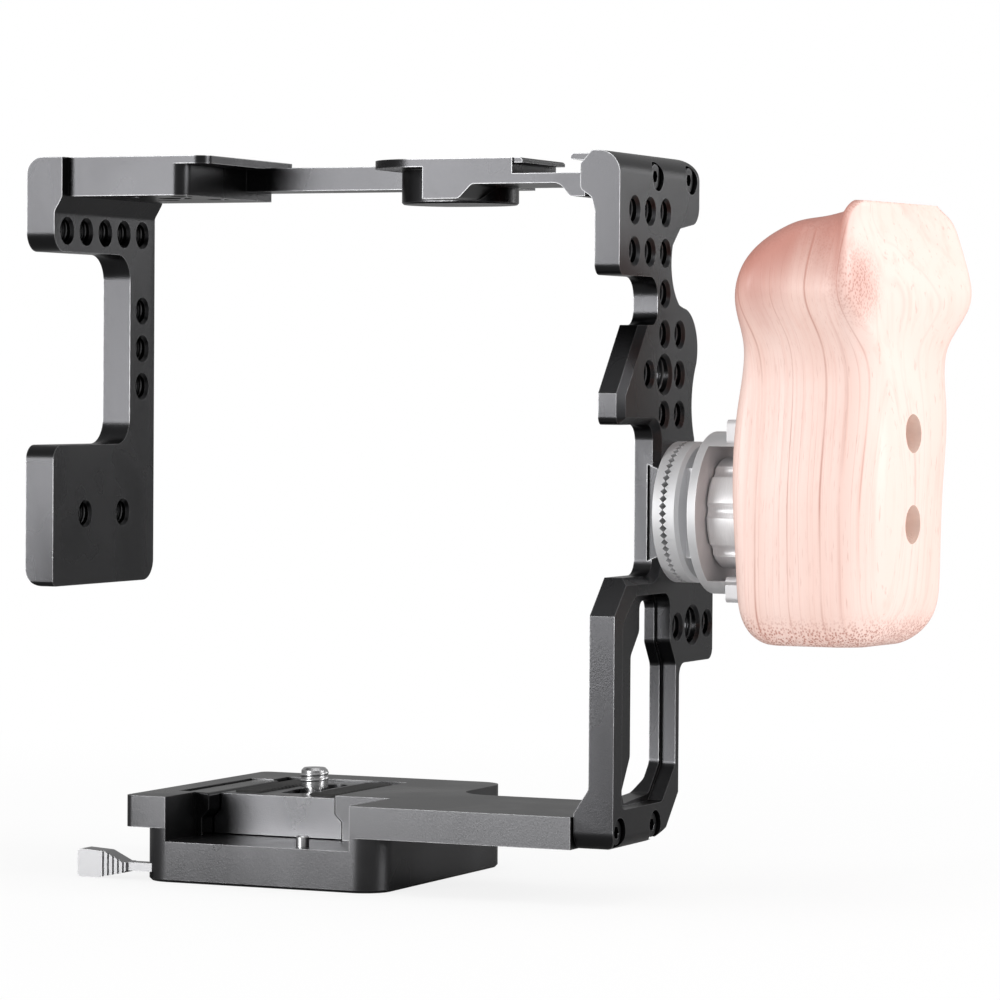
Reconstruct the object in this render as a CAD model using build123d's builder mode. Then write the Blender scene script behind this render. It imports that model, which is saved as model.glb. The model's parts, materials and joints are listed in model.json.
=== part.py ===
"""Camera cage with a quick-release base and a wooden side handle.

Frame: +X to the photographer's right, +Y forward (where the lens points), +Z up.
The origin is the mouth of the tripod thread in the underside of the base block.
All sizes are in millimetres.
"""
from build123d import *
import math
import os

os.makedirs("parts", exist_ok=True)

# ---- fits and small standard sizes -------------------------------------------------
RUN = 0.05                  # radial clearance of a shaft in its bore
SLIP = 0.15                 # clearance of a sliding face
SEAT = 0.3                  # gap between pieces of different bodies that don't bear
JOIN = 0.05                 # gap of a bolted joint
TIGHT = 0.01                # radial clearance of a pin or screw that is held
EDGE = 0.6                  # broken edges of the milled plates
THREAD_QUARTER = 2.6        # bore radius of a 1/4 inch thread
MOUTH_QUARTER = 3.3         # its countersunk mouth
THREAD_THREE_EIGHTHS = 4.0  # bore radius of a 3/8 inch thread
MOUTH_THREE_EIGHTHS = 4.75
HOLE_PITCH = 9.0            # spacing of the accessory threads
SCREW = 1.5                 # M3 shank radius
SCREW_HEAD = 2.75
SCREW_HEAD_HEIGHT = 2.2
SCREW_RECESS = 3.3          # radius of the recess round a screw head

# ---- base block and bottom plate -----------------------------------------------------
BLOCK_WIDTH = 61.0
BLOCK_DEPTH = 70.0
BLOCK_BACK = -33.45         # its rear face
BLOCK_CORNER = 7.0
PLATE_UNDERSIDE = 12.3
PLATE_THICKNESS = 7.2
LIP_REACH = 3.8             # how far the plate stands out to the left of the block
ARM_DEPTH = 39.0            # front to back, of the arm that runs to the side plate
ARM_FILLET = 9.0
TRIPOD_THREAD_DEPTH = 7.5
CHANNEL_FLOOR = 9.3
CHANNEL_LEFT = -23.7
CHANNEL_RIGHT = 22.9

# ---- quick-release plate ---------------------------------------------------------------
QR_CENTRE = -5.7
QR_WIDTH = 33.0
QR_LENGTH = 38.0
QR_REAR = -12.4
QR_FOOT = 4.0               # height of its wide foot
QR_BEVEL = 1.8
QR_HEIGHT = 9.5
PAD_THICKNESS = 1.0
PAD_WIDTH = 7.0
PAD_OFFSET = 9.6
CAMERA_SCREW = 3.1          # its threaded end
CAMERA_SCREW_WAIST = 2.4    # shank that slides in the plate's slot
CAMERA_SCREW_REACH = 5.0
CAMERA_SCREW_HEAD = 7.2

# ---- jaw, lever and stop pin -------------------------------------------------------------
JAW_REAR = -18.0
JAW_LENGTH = 36.0
JAW_BACK = -27.3
JAW_TRAVEL = 0.8
JAW_WEB = 6.0               # width of the web that carries the tail
TAIL_WIDTH = 3.2
LEVER_PIN_X, LEVER_PIN_Y = -25.2, -25.2
LEVER_PIN = 1.5
LEVER_BOTTOM = 1.95
LEVER_THICKNESS = 1.9
LEVER_HUB = 3.6
CAM_REACH = 4.8
CAM_RADIUS = 1.4
BLADE_Y = -29.6             # centre line of the lever's blade
BLADE_WIDTH = 3.4
TAB_DEPTH = 5.0
TAB_END = -47.2
STOP_X, STOP_Y = 9.0, -28.7
STOP_PIN = 1.5
STOP_RISE = 2.6
STOP_FLANGE = 2.4

# ---- side plate -----------------------------------------------------------------------------
SIDE_OUTER = 86.4
SIDE_THICKNESS = 5.9
HEAD_REACH = 3.5            # how far its head and foot stand in over the camera
CAGE_TOP = 165.2            # top of the side plate
TOP_ROUND = 5.0
FOOT_BOTTOM = 12.3
SIDE_REAR = -31.2           # rear face of the upper block
LEG_REAR = -32.4
LEG_FRONT = 5.6
LUG_BOTTOM = 51.4
LUG_THREADS = 8.3           # row of threads above the lug's lower edge
GRID_Y = -4.6
GRID_DROP = 12.8            # first row of threads below the top
STRAP_NOTCH_DROP = 27.2     # notch for the camera's strap lug, below the top
STRAP_NOTCH_HEIGHT = 10.7
WEDGE_DROP = 53.0           # rear corner of the wedge below that notch
WEDGE_FOOT = 6.9
ROSETTE_Y, ROSETTE_Z = 4.4, 85.6
WEB = 3.1                   # plate left behind the dovetail groove
GROOVE_MOUTH = 9.7          # half height
GROOVE_UNDERCUT = 1.1
LEDGE = 2.4                 # thickness of the ledge inside the window

# ---- top plate and left side plate ---------------------------------------------------------
TOP_REAR = -28.4
LEFT_RISE = 0.4             # the left half's top above the side plate's
SHOE_DROP = 1.2             # the right half's top below it, round the accessory shoe
FLANGE = 1.8
LEFT_BLOCK_HEIGHT = 9.0
BAR_HEIGHT = 5.4
CENTRE_HEIGHT = 8.9
BOSS_HEIGHT = 9.5
LEFT_OUTER = -61.9
LEFT_THICKNESS = 7.3
LEFT_HEAD = 2.0
LEFT_FRONT = 17.0
LEFT_ROW_DROP = 16.8        # row of threads below the top
LEFT_WINDOW_DROP = 21.7     # upper edge of the open side below the top
BRACKET_TOP = 99.2          # bracket at the lower end of the left side plate
BRACKET_BOTTOM = 66.5
SHOE_LEFT = 59.4
SHOE_DEPTH = 3.5
SHOE_LIP = 1.1
SHOE_NOSE = 2.2
SHOE_LENGTH = 24.4
SHOE_GROOVE = 0.6           # depth of the slot in the side plate's head
ARM_DROP = 5.7              # underside of the arm below the shoe's top
ARM_END_HEIGHT = 8.7        # its thicker end

# ---- rosette mount and handle -----------------------------------------------------------------
ROSETTE_RADIUS = 15.85
ROSETTE_TEETH = 60
TOOTH_DEPTH = 0.8
TOOTH_GAP = 0.15            # between the tips of the two faces
ROSETTE_BORE = 9.0          # inner radius of the toothed ring
MOUNT_DISC = 2.4
HANDLE_DISC = 3.4
MOUNT_SCREW_OFFSET = 7.0
STUD = 3.0
NECK_WIDTH = 20.0
NECK_LENGTH = 3.2
YOKE_RADIUS = 18.2
YOKE_PLATE = 1.9
YOKE_OPENING = 15.0         # half height of the window that holds the knob
KNOB_RADIUS = 12.6
KNOB_WIDTH = 8.2
KNOB_SCALLOPS = 8
KNOB_SCALLOP = 1.7
LOBE_INNER, LOBE_OUTER = 14.6, 20.3
LOBE_SHIFT = 0.6
LOBE_HALF_WIDTH = 9.0
LOBE_LENGTH = 5.0
CORE_THICKNESS = 3.6
CORE_HALF_HEIGHT = 23.0
GRIP_SCREW = 2.0
GRIP_HEAD = 3.6
GRIP_COUNTERBORE = 4.3
GRIP_SCREW_HEIGHTS = (18.2, -1.8)   # above and below the handle's axis
GRIP_SCREW_SEAT = 24.0

# ---- sizes that follow from those above -----------------------------------------------------
plate_top = PLATE_UNDERSIDE + PLATE_THICKNESS
left_top = CAGE_TOP + LEFT_RISE
shoe_top = CAGE_TOP - SHOE_DROP
shoe_floor = shoe_top - SHOE_DEPTH
arm_bottom = shoe_top - ARM_DROP
arm_end_bottom = shoe_top - ARM_END_HEIGHT
centre_bottom = shoe_top - CENTRE_HEIGHT
grid_top = CAGE_TOP - GRID_DROP
notch_top = CAGE_TOP - STRAP_NOTCH_DROP
notch_bottom = notch_top - STRAP_NOTCH_HEIGHT
wedge_corner = CAGE_TOP - WEDGE_DROP
wedge_bottom = wedge_corner - WEDGE_FOOT
window_top = left_top - LEFT_WINDOW_DROP
window_sill = FOOT_BOTTOM + 8.7
window_head = ROSETTE_Z - 18.0
lug_row = LUG_BOTTOM + LUG_THREADS
block_front = BLOCK_BACK + BLOCK_DEPTH
side_inner = SIDE_OUTER - SIDE_THICKNESS
head_inner = side_inner - HEAD_REACH
left_inner = LEFT_OUTER + LEFT_THICKNESS
left_head_inner = left_inner + LEFT_HEAD
web_outer = side_inner + WEB
mount_face = SIDE_OUTER + JOIN
mount_tips = mount_face + MOUNT_DISC
handle_tips = mount_tips + TOOTH_GAP
neck_start = handle_tips + HANDLE_DISC
yoke_start = neck_start + NECK_LENGTH + JOIN
knob_start = yoke_start + YOKE_PLATE + SEAT
grip_inner = knob_start + KNOB_WIDTH + SEAT
qr_foot_half = QR_WIDTH / 2
qr_top_half = qr_foot_half - QR_BEVEL
qr_bottom = CHANNEL_FLOOR + SLIP
qr_top = qr_bottom + QR_HEIGHT
qr_middle = QR_REAR + QR_LENGTH / 2
qr_front = QR_REAR + QR_LENGTH
foot_top = CHANNEL_FLOOR + QR_FOOT
arm_end = head_inner - SEAT
arm_front = BLOCK_BACK + ARM_DEPTH
top_screw_points = [(-9.1, CAGE_TOP - 4.9), (11.0, CAGE_TOP - 4.9)]
bottom_screw_points = [(-28.5, FOOT_BOTTOM + 3.8), (-8.0, FOOT_BOTTOM + 3.8)]
left_screw_points = [(-18.0, left_top - 4.8), (6.0, left_top - 4.8)]
mount_screw_points = [(ROSETTE_Y - MOUNT_SCREW_OFFSET, ROSETTE_Z), (ROSETTE_Y + MOUNT_SCREW_OFFSET, ROSETTE_Z)]
grip_screw_points = [(ROSETTE_Y, ROSETTE_Z + height) for height in GRIP_SCREW_HEIGHTS]
recess_floor = SIDE_OUTER - 3.0
left_recess = LEFT_OUTER + 3.2


def rear_plane(y):
    """Upright plane across the cage at y, seen from behind: local x is X, local y is Z."""
    return Plane(origin=(0, y, 0), x_dir=(1, 0, 0), z_dir=(0, -1, 0))


def side_plane(x):
    """Upright plane along the cage at x: local x is Y, local y is Z."""
    return Plane.YZ.offset(x)


def axis_plane(x):
    """Plane at x, centred on the handle's axis."""
    return Plane(origin=(x, ROSETTE_Y, ROSETTE_Z), x_dir=(0, 1, 0), z_dir=(1, 0, 0))


def nearest(builder, *points):
    """The sketch's vertices that stand nearest to the given points."""
    found = []
    for px, py in points:
        found.append(min(builder.vertices(), key=lambda v: math.hypot(v.X - px, v.Y - py)))
    return found


def groove(tips, toward):
    """One V groove of a rosette face at x = tips; toward is +1 or -1, into the metal."""
    with BuildPart() as cutter:
        for radius in (ROSETTE_RADIUS + 1.5, ROSETTE_BORE - 1.0):
            half = math.pi * radius / ROSETTE_TEETH
            depth = TOOTH_DEPTH * radius / ROSETTE_RADIUS
            face = Plane(origin=(tips, ROSETTE_Y + radius, ROSETTE_Z), x_dir=(0, 0, 1), z_dir=(0, 1, 0))
            with BuildSketch(face):
                with BuildLine():
                    Polyline((-half, -toward * 0.02), (0, toward * depth), (half, -toward * 0.02), close=True)
                make_face()
        loft(ruled=True)
    return axis_plane(0).to_local_coords(cutter.part)


def socket_screws(start, points, toward, length, head=SCREW_HEAD, shank=SCREW, height=SCREW_HEAD_HEIGHT):
    """Socket screws along X: shanks run from start toward +1 or -1, heads stand the other way."""
    with BuildPart() as screws:
        with BuildSketch(side_plane(start)):
            with Locations(*points):
                Circle(head)
        extrude(amount=-toward * height)
        with BuildSketch(side_plane(start)):
            with Locations(*points):
                Circle(shank)
        extrude(amount=toward * length)
        with BuildSketch(side_plane(start - toward * height)):
            with Locations(*points):
                RegularPolygon(head * 0.52, 6)
        extrude(amount=toward * height * 0.6, mode=Mode.SUBTRACT)
    return screws


# ---- base block with the bottom plate --------------------------------------------------------
with BuildPart() as base_plate:
    with BuildSketch():
        with Locations((0, (BLOCK_BACK + block_front) / 2)):
            RectangleRounded(BLOCK_WIDTH, BLOCK_DEPTH, BLOCK_CORNER)
    extrude(amount=plate_top)
    with BuildSketch(Plane.XY.offset(PLATE_UNDERSIDE)) as plate_outline:
        lip = BLOCK_WIDTH / 2 + LIP_REACH
        with BuildLine():
            Polyline((-lip, BLOCK_BACK), (arm_end, BLOCK_BACK), (arm_end, arm_front),
                     (BLOCK_WIDTH / 2, arm_front), (BLOCK_WIDTH / 2, block_front), (-lip, block_front), close=True)
        make_face()
        fillet(nearest(plate_outline, (-lip, BLOCK_BACK), (-lip, block_front)), 2.0)
        fillet(nearest(plate_outline, (BLOCK_WIDTH / 2, block_front)), BLOCK_CORNER)
        fillet(nearest(plate_outline, (BLOCK_WIDTH / 2, arm_front)), ARM_FILLET)
    extrude(amount=PLATE_THICKNESS)
    # the wide mouth behind the quick-release plate, then the dovetail track
    with BuildSketch(Plane.XY.offset(CHANNEL_FLOOR)):
        with Locations((CHANNEL_LEFT, BLOCK_BACK)):
            Rectangle(CHANNEL_RIGHT - CHANNEL_LEFT, QR_REAR - BLOCK_BACK, align=(Align.MIN, Align.MIN))
    extrude(amount=plate_top, mode=Mode.SUBTRACT)
    foot = qr_foot_half + SLIP
    throat = qr_top_half + SLIP
    with BuildSketch(rear_plane(QR_REAR - 0.5)):
        with BuildLine():
            Polyline(
                (QR_CENTRE - foot, CHANNEL_FLOOR), (QR_CENTRE + foot, CHANNEL_FLOOR),
                (QR_CENTRE + foot, foot_top + SLIP), (QR_CENTRE + throat, foot_top + QR_BEVEL + SLIP),
                (QR_CENTRE + throat, plate_top + 1), (QR_CENTRE - foot, plate_top + 1), close=True)
        make_face()
    extrude(amount=-(qr_front + SEAT - QR_REAR + 0.5), mode=Mode.SUBTRACT)
    # pocket of the sliding jaw in the left wall
    pocket_left = JAW_BACK - JAW_TRAVEL - SEAT
    with BuildSketch(Plane.XY.offset(CHANNEL_FLOOR)):
        with Locations((pocket_left, JAW_REAR - SLIP)):
            Rectangle(QR_CENTRE - pocket_left, JAW_LENGTH + 2 * SLIP, align=(Align.MIN, Align.MIN))
    extrude(amount=plate_top, mode=Mode.SUBTRACT)
    # slot for the lever and the jaw's tail, open to the left
    slot_bottom = LEVER_BOTTOM - SLIP
    slot_rear = BLADE_Y - BLADE_WIDTH / 2 - 0.5
    slot_end = LEVER_PIN_X + CAM_REACH + TAIL_WIDTH + 2 * SEAT
    with BuildSketch(Plane.XY.offset(slot_bottom)):
        with Locations((-BLOCK_WIDTH / 2 - 1, slot_rear)):
            Rectangle(slot_end + BLOCK_WIDTH / 2 + 1, JAW_REAR + JAW_WEB + SLIP - slot_rear,
                      align=(Align.MIN, Align.MIN))
    extrude(amount=LEVER_THICKNESS + 2 * SLIP, mode=Mode.SUBTRACT)
    with BuildSketch(Plane.XY.offset(slot_bottom)):
        with Locations((pocket_left, JAW_REAR - SLIP)):
            Rectangle(QR_CENTRE - foot + SLIP - pocket_left, JAW_WEB + 2 * SLIP, align=(Align.MIN, Align.MIN))
    extrude(amount=CHANNEL_FLOOR - slot_bottom, mode=Mode.SUBTRACT)
    # bores for the lever's pin and for the stop pin with its spring
    with BuildSketch(Plane.XY.offset(0.9)):
        with Locations((LEVER_PIN_X, LEVER_PIN_Y)):
            Circle(LEVER_PIN + TIGHT)
    extrude(amount=6.6, mode=Mode.SUBTRACT)
    with BuildSketch(Plane.XY):
        with Locations((STOP_X, STOP_Y)):
            Circle(STOP_PIN + RUN)
    extrude(amount=CHANNEL_FLOOR + 1, mode=Mode.SUBTRACT)
    with BuildSketch(Plane.XY):
        with Locations((STOP_X, STOP_Y)):
            Circle(STOP_FLANGE + RUN)
    extrude(amount=CHANNEL_FLOOR - 1.2, mode=Mode.SUBTRACT)
    # tripod threads in the underside, and the tapped holes for the side plate's screws
    with Locations(Plane.XY.rotated((180, 0, 0))):
        Hole(radius=THREAD_QUARTER, depth=TRIPOD_THREAD_DEPTH)
        with Locations((0, 23.0), (0, -17.0)):
            CounterSinkHole(radius=THREAD_QUARTER, counter_sink_radius=MOUTH_QUARTER,
                            depth=TRIPOD_THREAD_DEPTH, counter_sink_angle=90)
    with BuildSketch(side_plane(arm_end)):
        with Locations(*bottom_screw_points):
            Circle(SCREW + TIGHT)
    extrude(amount=-8.0, mode=Mode.SUBTRACT)
    chamfer(base_plate.faces().sort_by(Axis.Z)[0].outer_wire().edges(), EDGE)
base_plate.part.label = "base_plate"
export_step(base_plate.part, "parts/base_plate.step")

# ---- quick-release plate, its pads and camera screw --------------------------------------------
pad_points = [(QR_CENTRE - PAD_OFFSET, qr_middle), (QR_CENTRE + PAD_OFFSET, qr_middle)]
pad_length = QR_LENGTH - 6.0
with BuildPart() as quick_release_plate:
    with BuildSketch(rear_plane(QR_REAR)):
        with BuildLine():
            Polyline(
                (QR_CENTRE - qr_foot_half, qr_bottom), (QR_CENTRE + qr_foot_half, qr_bottom),
                (QR_CENTRE + qr_foot_half, qr_bottom + QR_FOOT),
                (QR_CENTRE + qr_top_half, qr_bottom + QR_FOOT + QR_BEVEL),
                (QR_CENTRE + qr_top_half, qr_top), (QR_CENTRE - qr_top_half, qr_top),
                (QR_CENTRE - qr_top_half, qr_bottom + QR_FOOT + QR_BEVEL),
                (QR_CENTRE - qr_foot_half, qr_bottom + QR_FOOT), close=True)
        make_face()
    extrude(amount=-QR_LENGTH)
    # slot for the camera screw, stepped from below for its head
    with BuildSketch(Plane.XY.offset(qr_bottom)):
        with Locations((QR_CENTRE, qr_middle)):
            SlotOverall(QR_LENGTH * 0.7, 2 * (CAMERA_SCREW + 0.2), rotation=90)
    extrude(amount=QR_HEIGHT, mode=Mode.SUBTRACT)
    with BuildSketch(Plane.XY.offset(qr_bottom)):
        with Locations((QR_CENTRE, qr_middle)):
            SlotOverall(QR_LENGTH * 0.86, 2 * (CAMERA_SCREW_HEAD + 0.4), rotation=90)
    extrude(amount=5.0, mode=Mode.SUBTRACT)
    # seats of the two rubber pads
    with BuildSketch(Plane.XY.offset(qr_top - PAD_THICKNESS / 2)):
        with Locations(*pad_points):
            RectangleRounded(PAD_WIDTH, pad_length, 1.5)
    extrude(amount=PAD_THICKNESS, mode=Mode.SUBTRACT)
quick_release_plate.part.label = "quick_release_plate"
export_step(quick_release_plate.part, "parts/quick_release_plate.step")

with BuildPart() as rubber_pads:
    with BuildSketch(Plane.XY.offset(qr_top - PAD_THICKNESS / 2)):
        with Locations(*pad_points):
            RectangleRounded(PAD_WIDTH - 2 * JOIN, pad_length - 2 * JOIN, 1.4)
    extrude(amount=PAD_THICKNESS)
    chamfer(rubber_pads.edges().group_by(Axis.Z)[-1], 0.3)
rubber_pads.part.label = "rubber_pads"
export_step(rubber_pads.part, "parts/rubber_pads.step")

with BuildPart() as camera_screw:
    with BuildSketch(Plane.XY.offset(qr_bottom + 2.2)):
        with Locations((QR_CENTRE, qr_middle)):
            Circle(CAMERA_SCREW_HEAD)
    extrude(amount=2.8 - JOIN)
    with BuildSketch(Plane.XY.offset(qr_bottom + 4.9)):
        with Locations((QR_CENTRE, qr_middle)):
            Circle(CAMERA_SCREW_WAIST)
    extrude(amount=QR_HEIGHT - 4.9 + PAD_THICKNESS / 2)
    with BuildSketch(Plane.XY.offset(qr_top + PAD_THICKNESS / 2)):
        with Locations((QR_CENTRE, qr_middle)):
            Circle(CAMERA_SCREW)
    extrude(amount=CAMERA_SCREW_REACH - PAD_THICKNESS / 2)
    with BuildSketch(Plane.XY.offset(qr_bottom + 2.2)):
        with Locations((QR_CENTRE, qr_middle)):
            Rectangle(16.0, 1.6)
    extrude(amount=1.4, mode=Mode.SUBTRACT)
    chamfer(camera_screw.edges().group_by(Axis.Z)[-1], 0.6)
camera_screw.part.label = "camera_screw"
export_step(camera_screw.part, "parts/camera_screw.step")

# ---- sliding jaw with its tail under the floor -------------------------------------------------
tail_left = LEVER_PIN_X + CAM_REACH + SEAT
jaw_face = QR_CENTRE - foot
with BuildPart() as clamp_jaw:
    with BuildSketch(rear_plane(JAW_REAR)) as jaw_section:
        with BuildLine():
            Polyline(
                (JAW_BACK, CHANNEL_FLOOR + SLIP), (jaw_face, CHANNEL_FLOOR + SLIP),
                (jaw_face, foot_top + SLIP), (QR_CENTRE - throat, foot_top + QR_BEVEL + SLIP),
                (QR_CENTRE - throat, plate_top - 0.2), (JAW_BACK, plate_top - 0.2), close=True)
        make_face()
        chamfer(nearest(jaw_section, (QR_CENTRE - throat, plate_top), (JAW_BACK, plate_top)), 0.5)
    extrude(amount=-JAW_LENGTH)
    with BuildSketch(Plane.XY.offset(LEVER_BOTTOM)):
        with Locations((JAW_BACK, JAW_REAR)):
            Rectangle(jaw_face - JAW_BACK, JAW_WEB, align=(Align.MIN, Align.MIN))
    extrude(amount=CHANNEL_FLOOR + SLIP - LEVER_BOTTOM)
    with BuildSketch(Plane.XY.offset(LEVER_BOTTOM)):
        with Locations((tail_left, LEVER_PIN_Y - 3.0)):
            Rectangle(TAIL_WIDTH, JAW_REAR + JAW_WEB - LEVER_PIN_Y + 3.0, align=(Align.MIN, Align.MIN))
        with Locations((JAW_BACK, JAW_REAR)):
            Rectangle(tail_left + TAIL_WIDTH - JAW_BACK, JAW_WEB, align=(Align.MIN, Align.MIN))
    extrude(amount=LEVER_THICKNESS)
clamp_jaw.part.label = "clamp_jaw"
export_step(clamp_jaw.part, "parts/clamp_jaw.step")

# ---- lever, its pin and the stop pin --------------------------------------------------------------
lever_top = LEVER_BOTTOM + LEVER_THICKNESS
tab_start = TAB_END + 12.6
with BuildPart() as release_lever:
    with BuildSketch(Plane.XY.offset(LEVER_BOTTOM)):
        with Locations((LEVER_PIN_X, LEVER_PIN_Y)):
            Circle(LEVER_HUB)
        with Locations((LEVER_PIN_X + CAM_REACH - CAM_RADIUS, LEVER_PIN_Y)):
            Circle(CAM_RADIUS)
        with Locations((tab_start - 0.1, BLADE_Y)):
            Rectangle(LEVER_PIN_X - tab_start + 0.1, BLADE_WIDTH, align=(Align.MIN, Align.CENTER))
        with BuildLine():
            Polyline((LEVER_PIN_X - LEVER_HUB, LEVER_PIN_Y), (LEVER_PIN_X - LEVER_HUB - 2.0, BLADE_Y),
                     (LEVER_PIN_X, BLADE_Y), (LEVER_PIN_X, LEVER_PIN_Y), close=True)
        make_face()
        with Locations((LEVER_PIN_X, LEVER_PIN_Y)):
            Circle(LEVER_PIN + RUN, mode=Mode.SUBTRACT)
    extrude(amount=LEVER_THICKNESS)
    # thumb tab, deep outside and tapering to the blade, with a serrated shoulder
    with BuildSketch(rear_plane(BLADE_Y - TAB_DEPTH / 2)) as tab_outline:
        with BuildLine():
            Polyline(
                (tab_start, LEVER_BOTTOM), (tab_start, lever_top), (tab_start - 1.0, lever_top),
                (TAB_END + 6.8, lever_top + 2.3), (TAB_END, lever_top + 2.7), (TAB_END, 0.1),
                (TAB_END + 5.4, 0.1), (tab_start - 1.0, LEVER_BOTTOM - 0.6), close=True)
        make_face()
        fillet(nearest(tab_outline, (TAB_END, lever_top + 2.7), (TAB_END, 0.1)), 0.9)
        fillet(nearest(tab_outline, (TAB_END + 6.8, lever_top + 2.3)), 2.0)
    extrude(amount=-TAB_DEPTH)
    with BuildSketch(rear_plane(BLADE_Y - TAB_DEPTH / 2)):
        with Locations(*[(tab_start - 0.7 - 1.3 * i, LEVER_BOTTOM + 1) for i in range(5)]):
            Rectangle(0.5, 9.0)
    extrude(amount=-0.5, mode=Mode.SUBTRACT)
release_lever.part.label = "release_lever"
export_step(release_lever.part, "parts/release_lever.step")

with BuildPart() as lever_pin:
    with BuildSketch(Plane.XY.offset(0.9)):
        with Locations((LEVER_PIN_X, LEVER_PIN_Y)):
            Circle(LEVER_PIN)
    extrude(amount=6.5)
lever_pin.part.label = "lever_pin"
export_step(lever_pin.part, "parts/lever_pin.step")

flange_top = CHANNEL_FLOOR - 1.2 - RUN
with BuildPart() as stop_pin:
    with BuildSketch(Plane.XY.offset(flange_top)):
        with Locations((STOP_X, STOP_Y)):
            Circle(STOP_PIN)
    extrude(amount=CHANNEL_FLOOR + STOP_RISE - flange_top)
    with BuildSketch(Plane.XY.offset(flange_top)):
        with Locations((STOP_X, STOP_Y)):
            Circle(STOP_FLANGE)
    extrude(amount=-1.0)
    chamfer(stop_pin.edges().group_by(Axis.Z)[-1], 0.4)
stop_pin.part.label = "stop_pin"
export_step(stop_pin.part, "parts/stop_pin.step")

plug_height = 1.8
with BuildPart() as stop_plug:
    with BuildSketch():
        with Locations((STOP_X, STOP_Y)):
            Circle(STOP_FLANGE + RUN - TIGHT)
    extrude(amount=plug_height)
    with BuildSketch():
        with Locations((STOP_X, STOP_Y)):
            Rectangle(3.2, 0.7)
    extrude(amount=0.7, mode=Mode.SUBTRACT)
stop_plug.part.label = "stop_plug"
export_step(stop_plug.part, "parts/stop_plug.step")

spring_bottom = plug_height + 0.1
spring_top = flange_top - 1.0 - 0.1
with BuildPart() as stop_spring:
    with BuildSketch(Plane.XY.offset(spring_bottom)):
        with Locations((STOP_X, STOP_Y)):
            Circle(2.0)
            Circle(1.4, mode=Mode.SUBTRACT)
    extrude(amount=spring_top - spring_bottom)
stop_spring.part.label = "stop_spring"
export_step(stop_spring.part, "parts/stop_spring.step")

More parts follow.
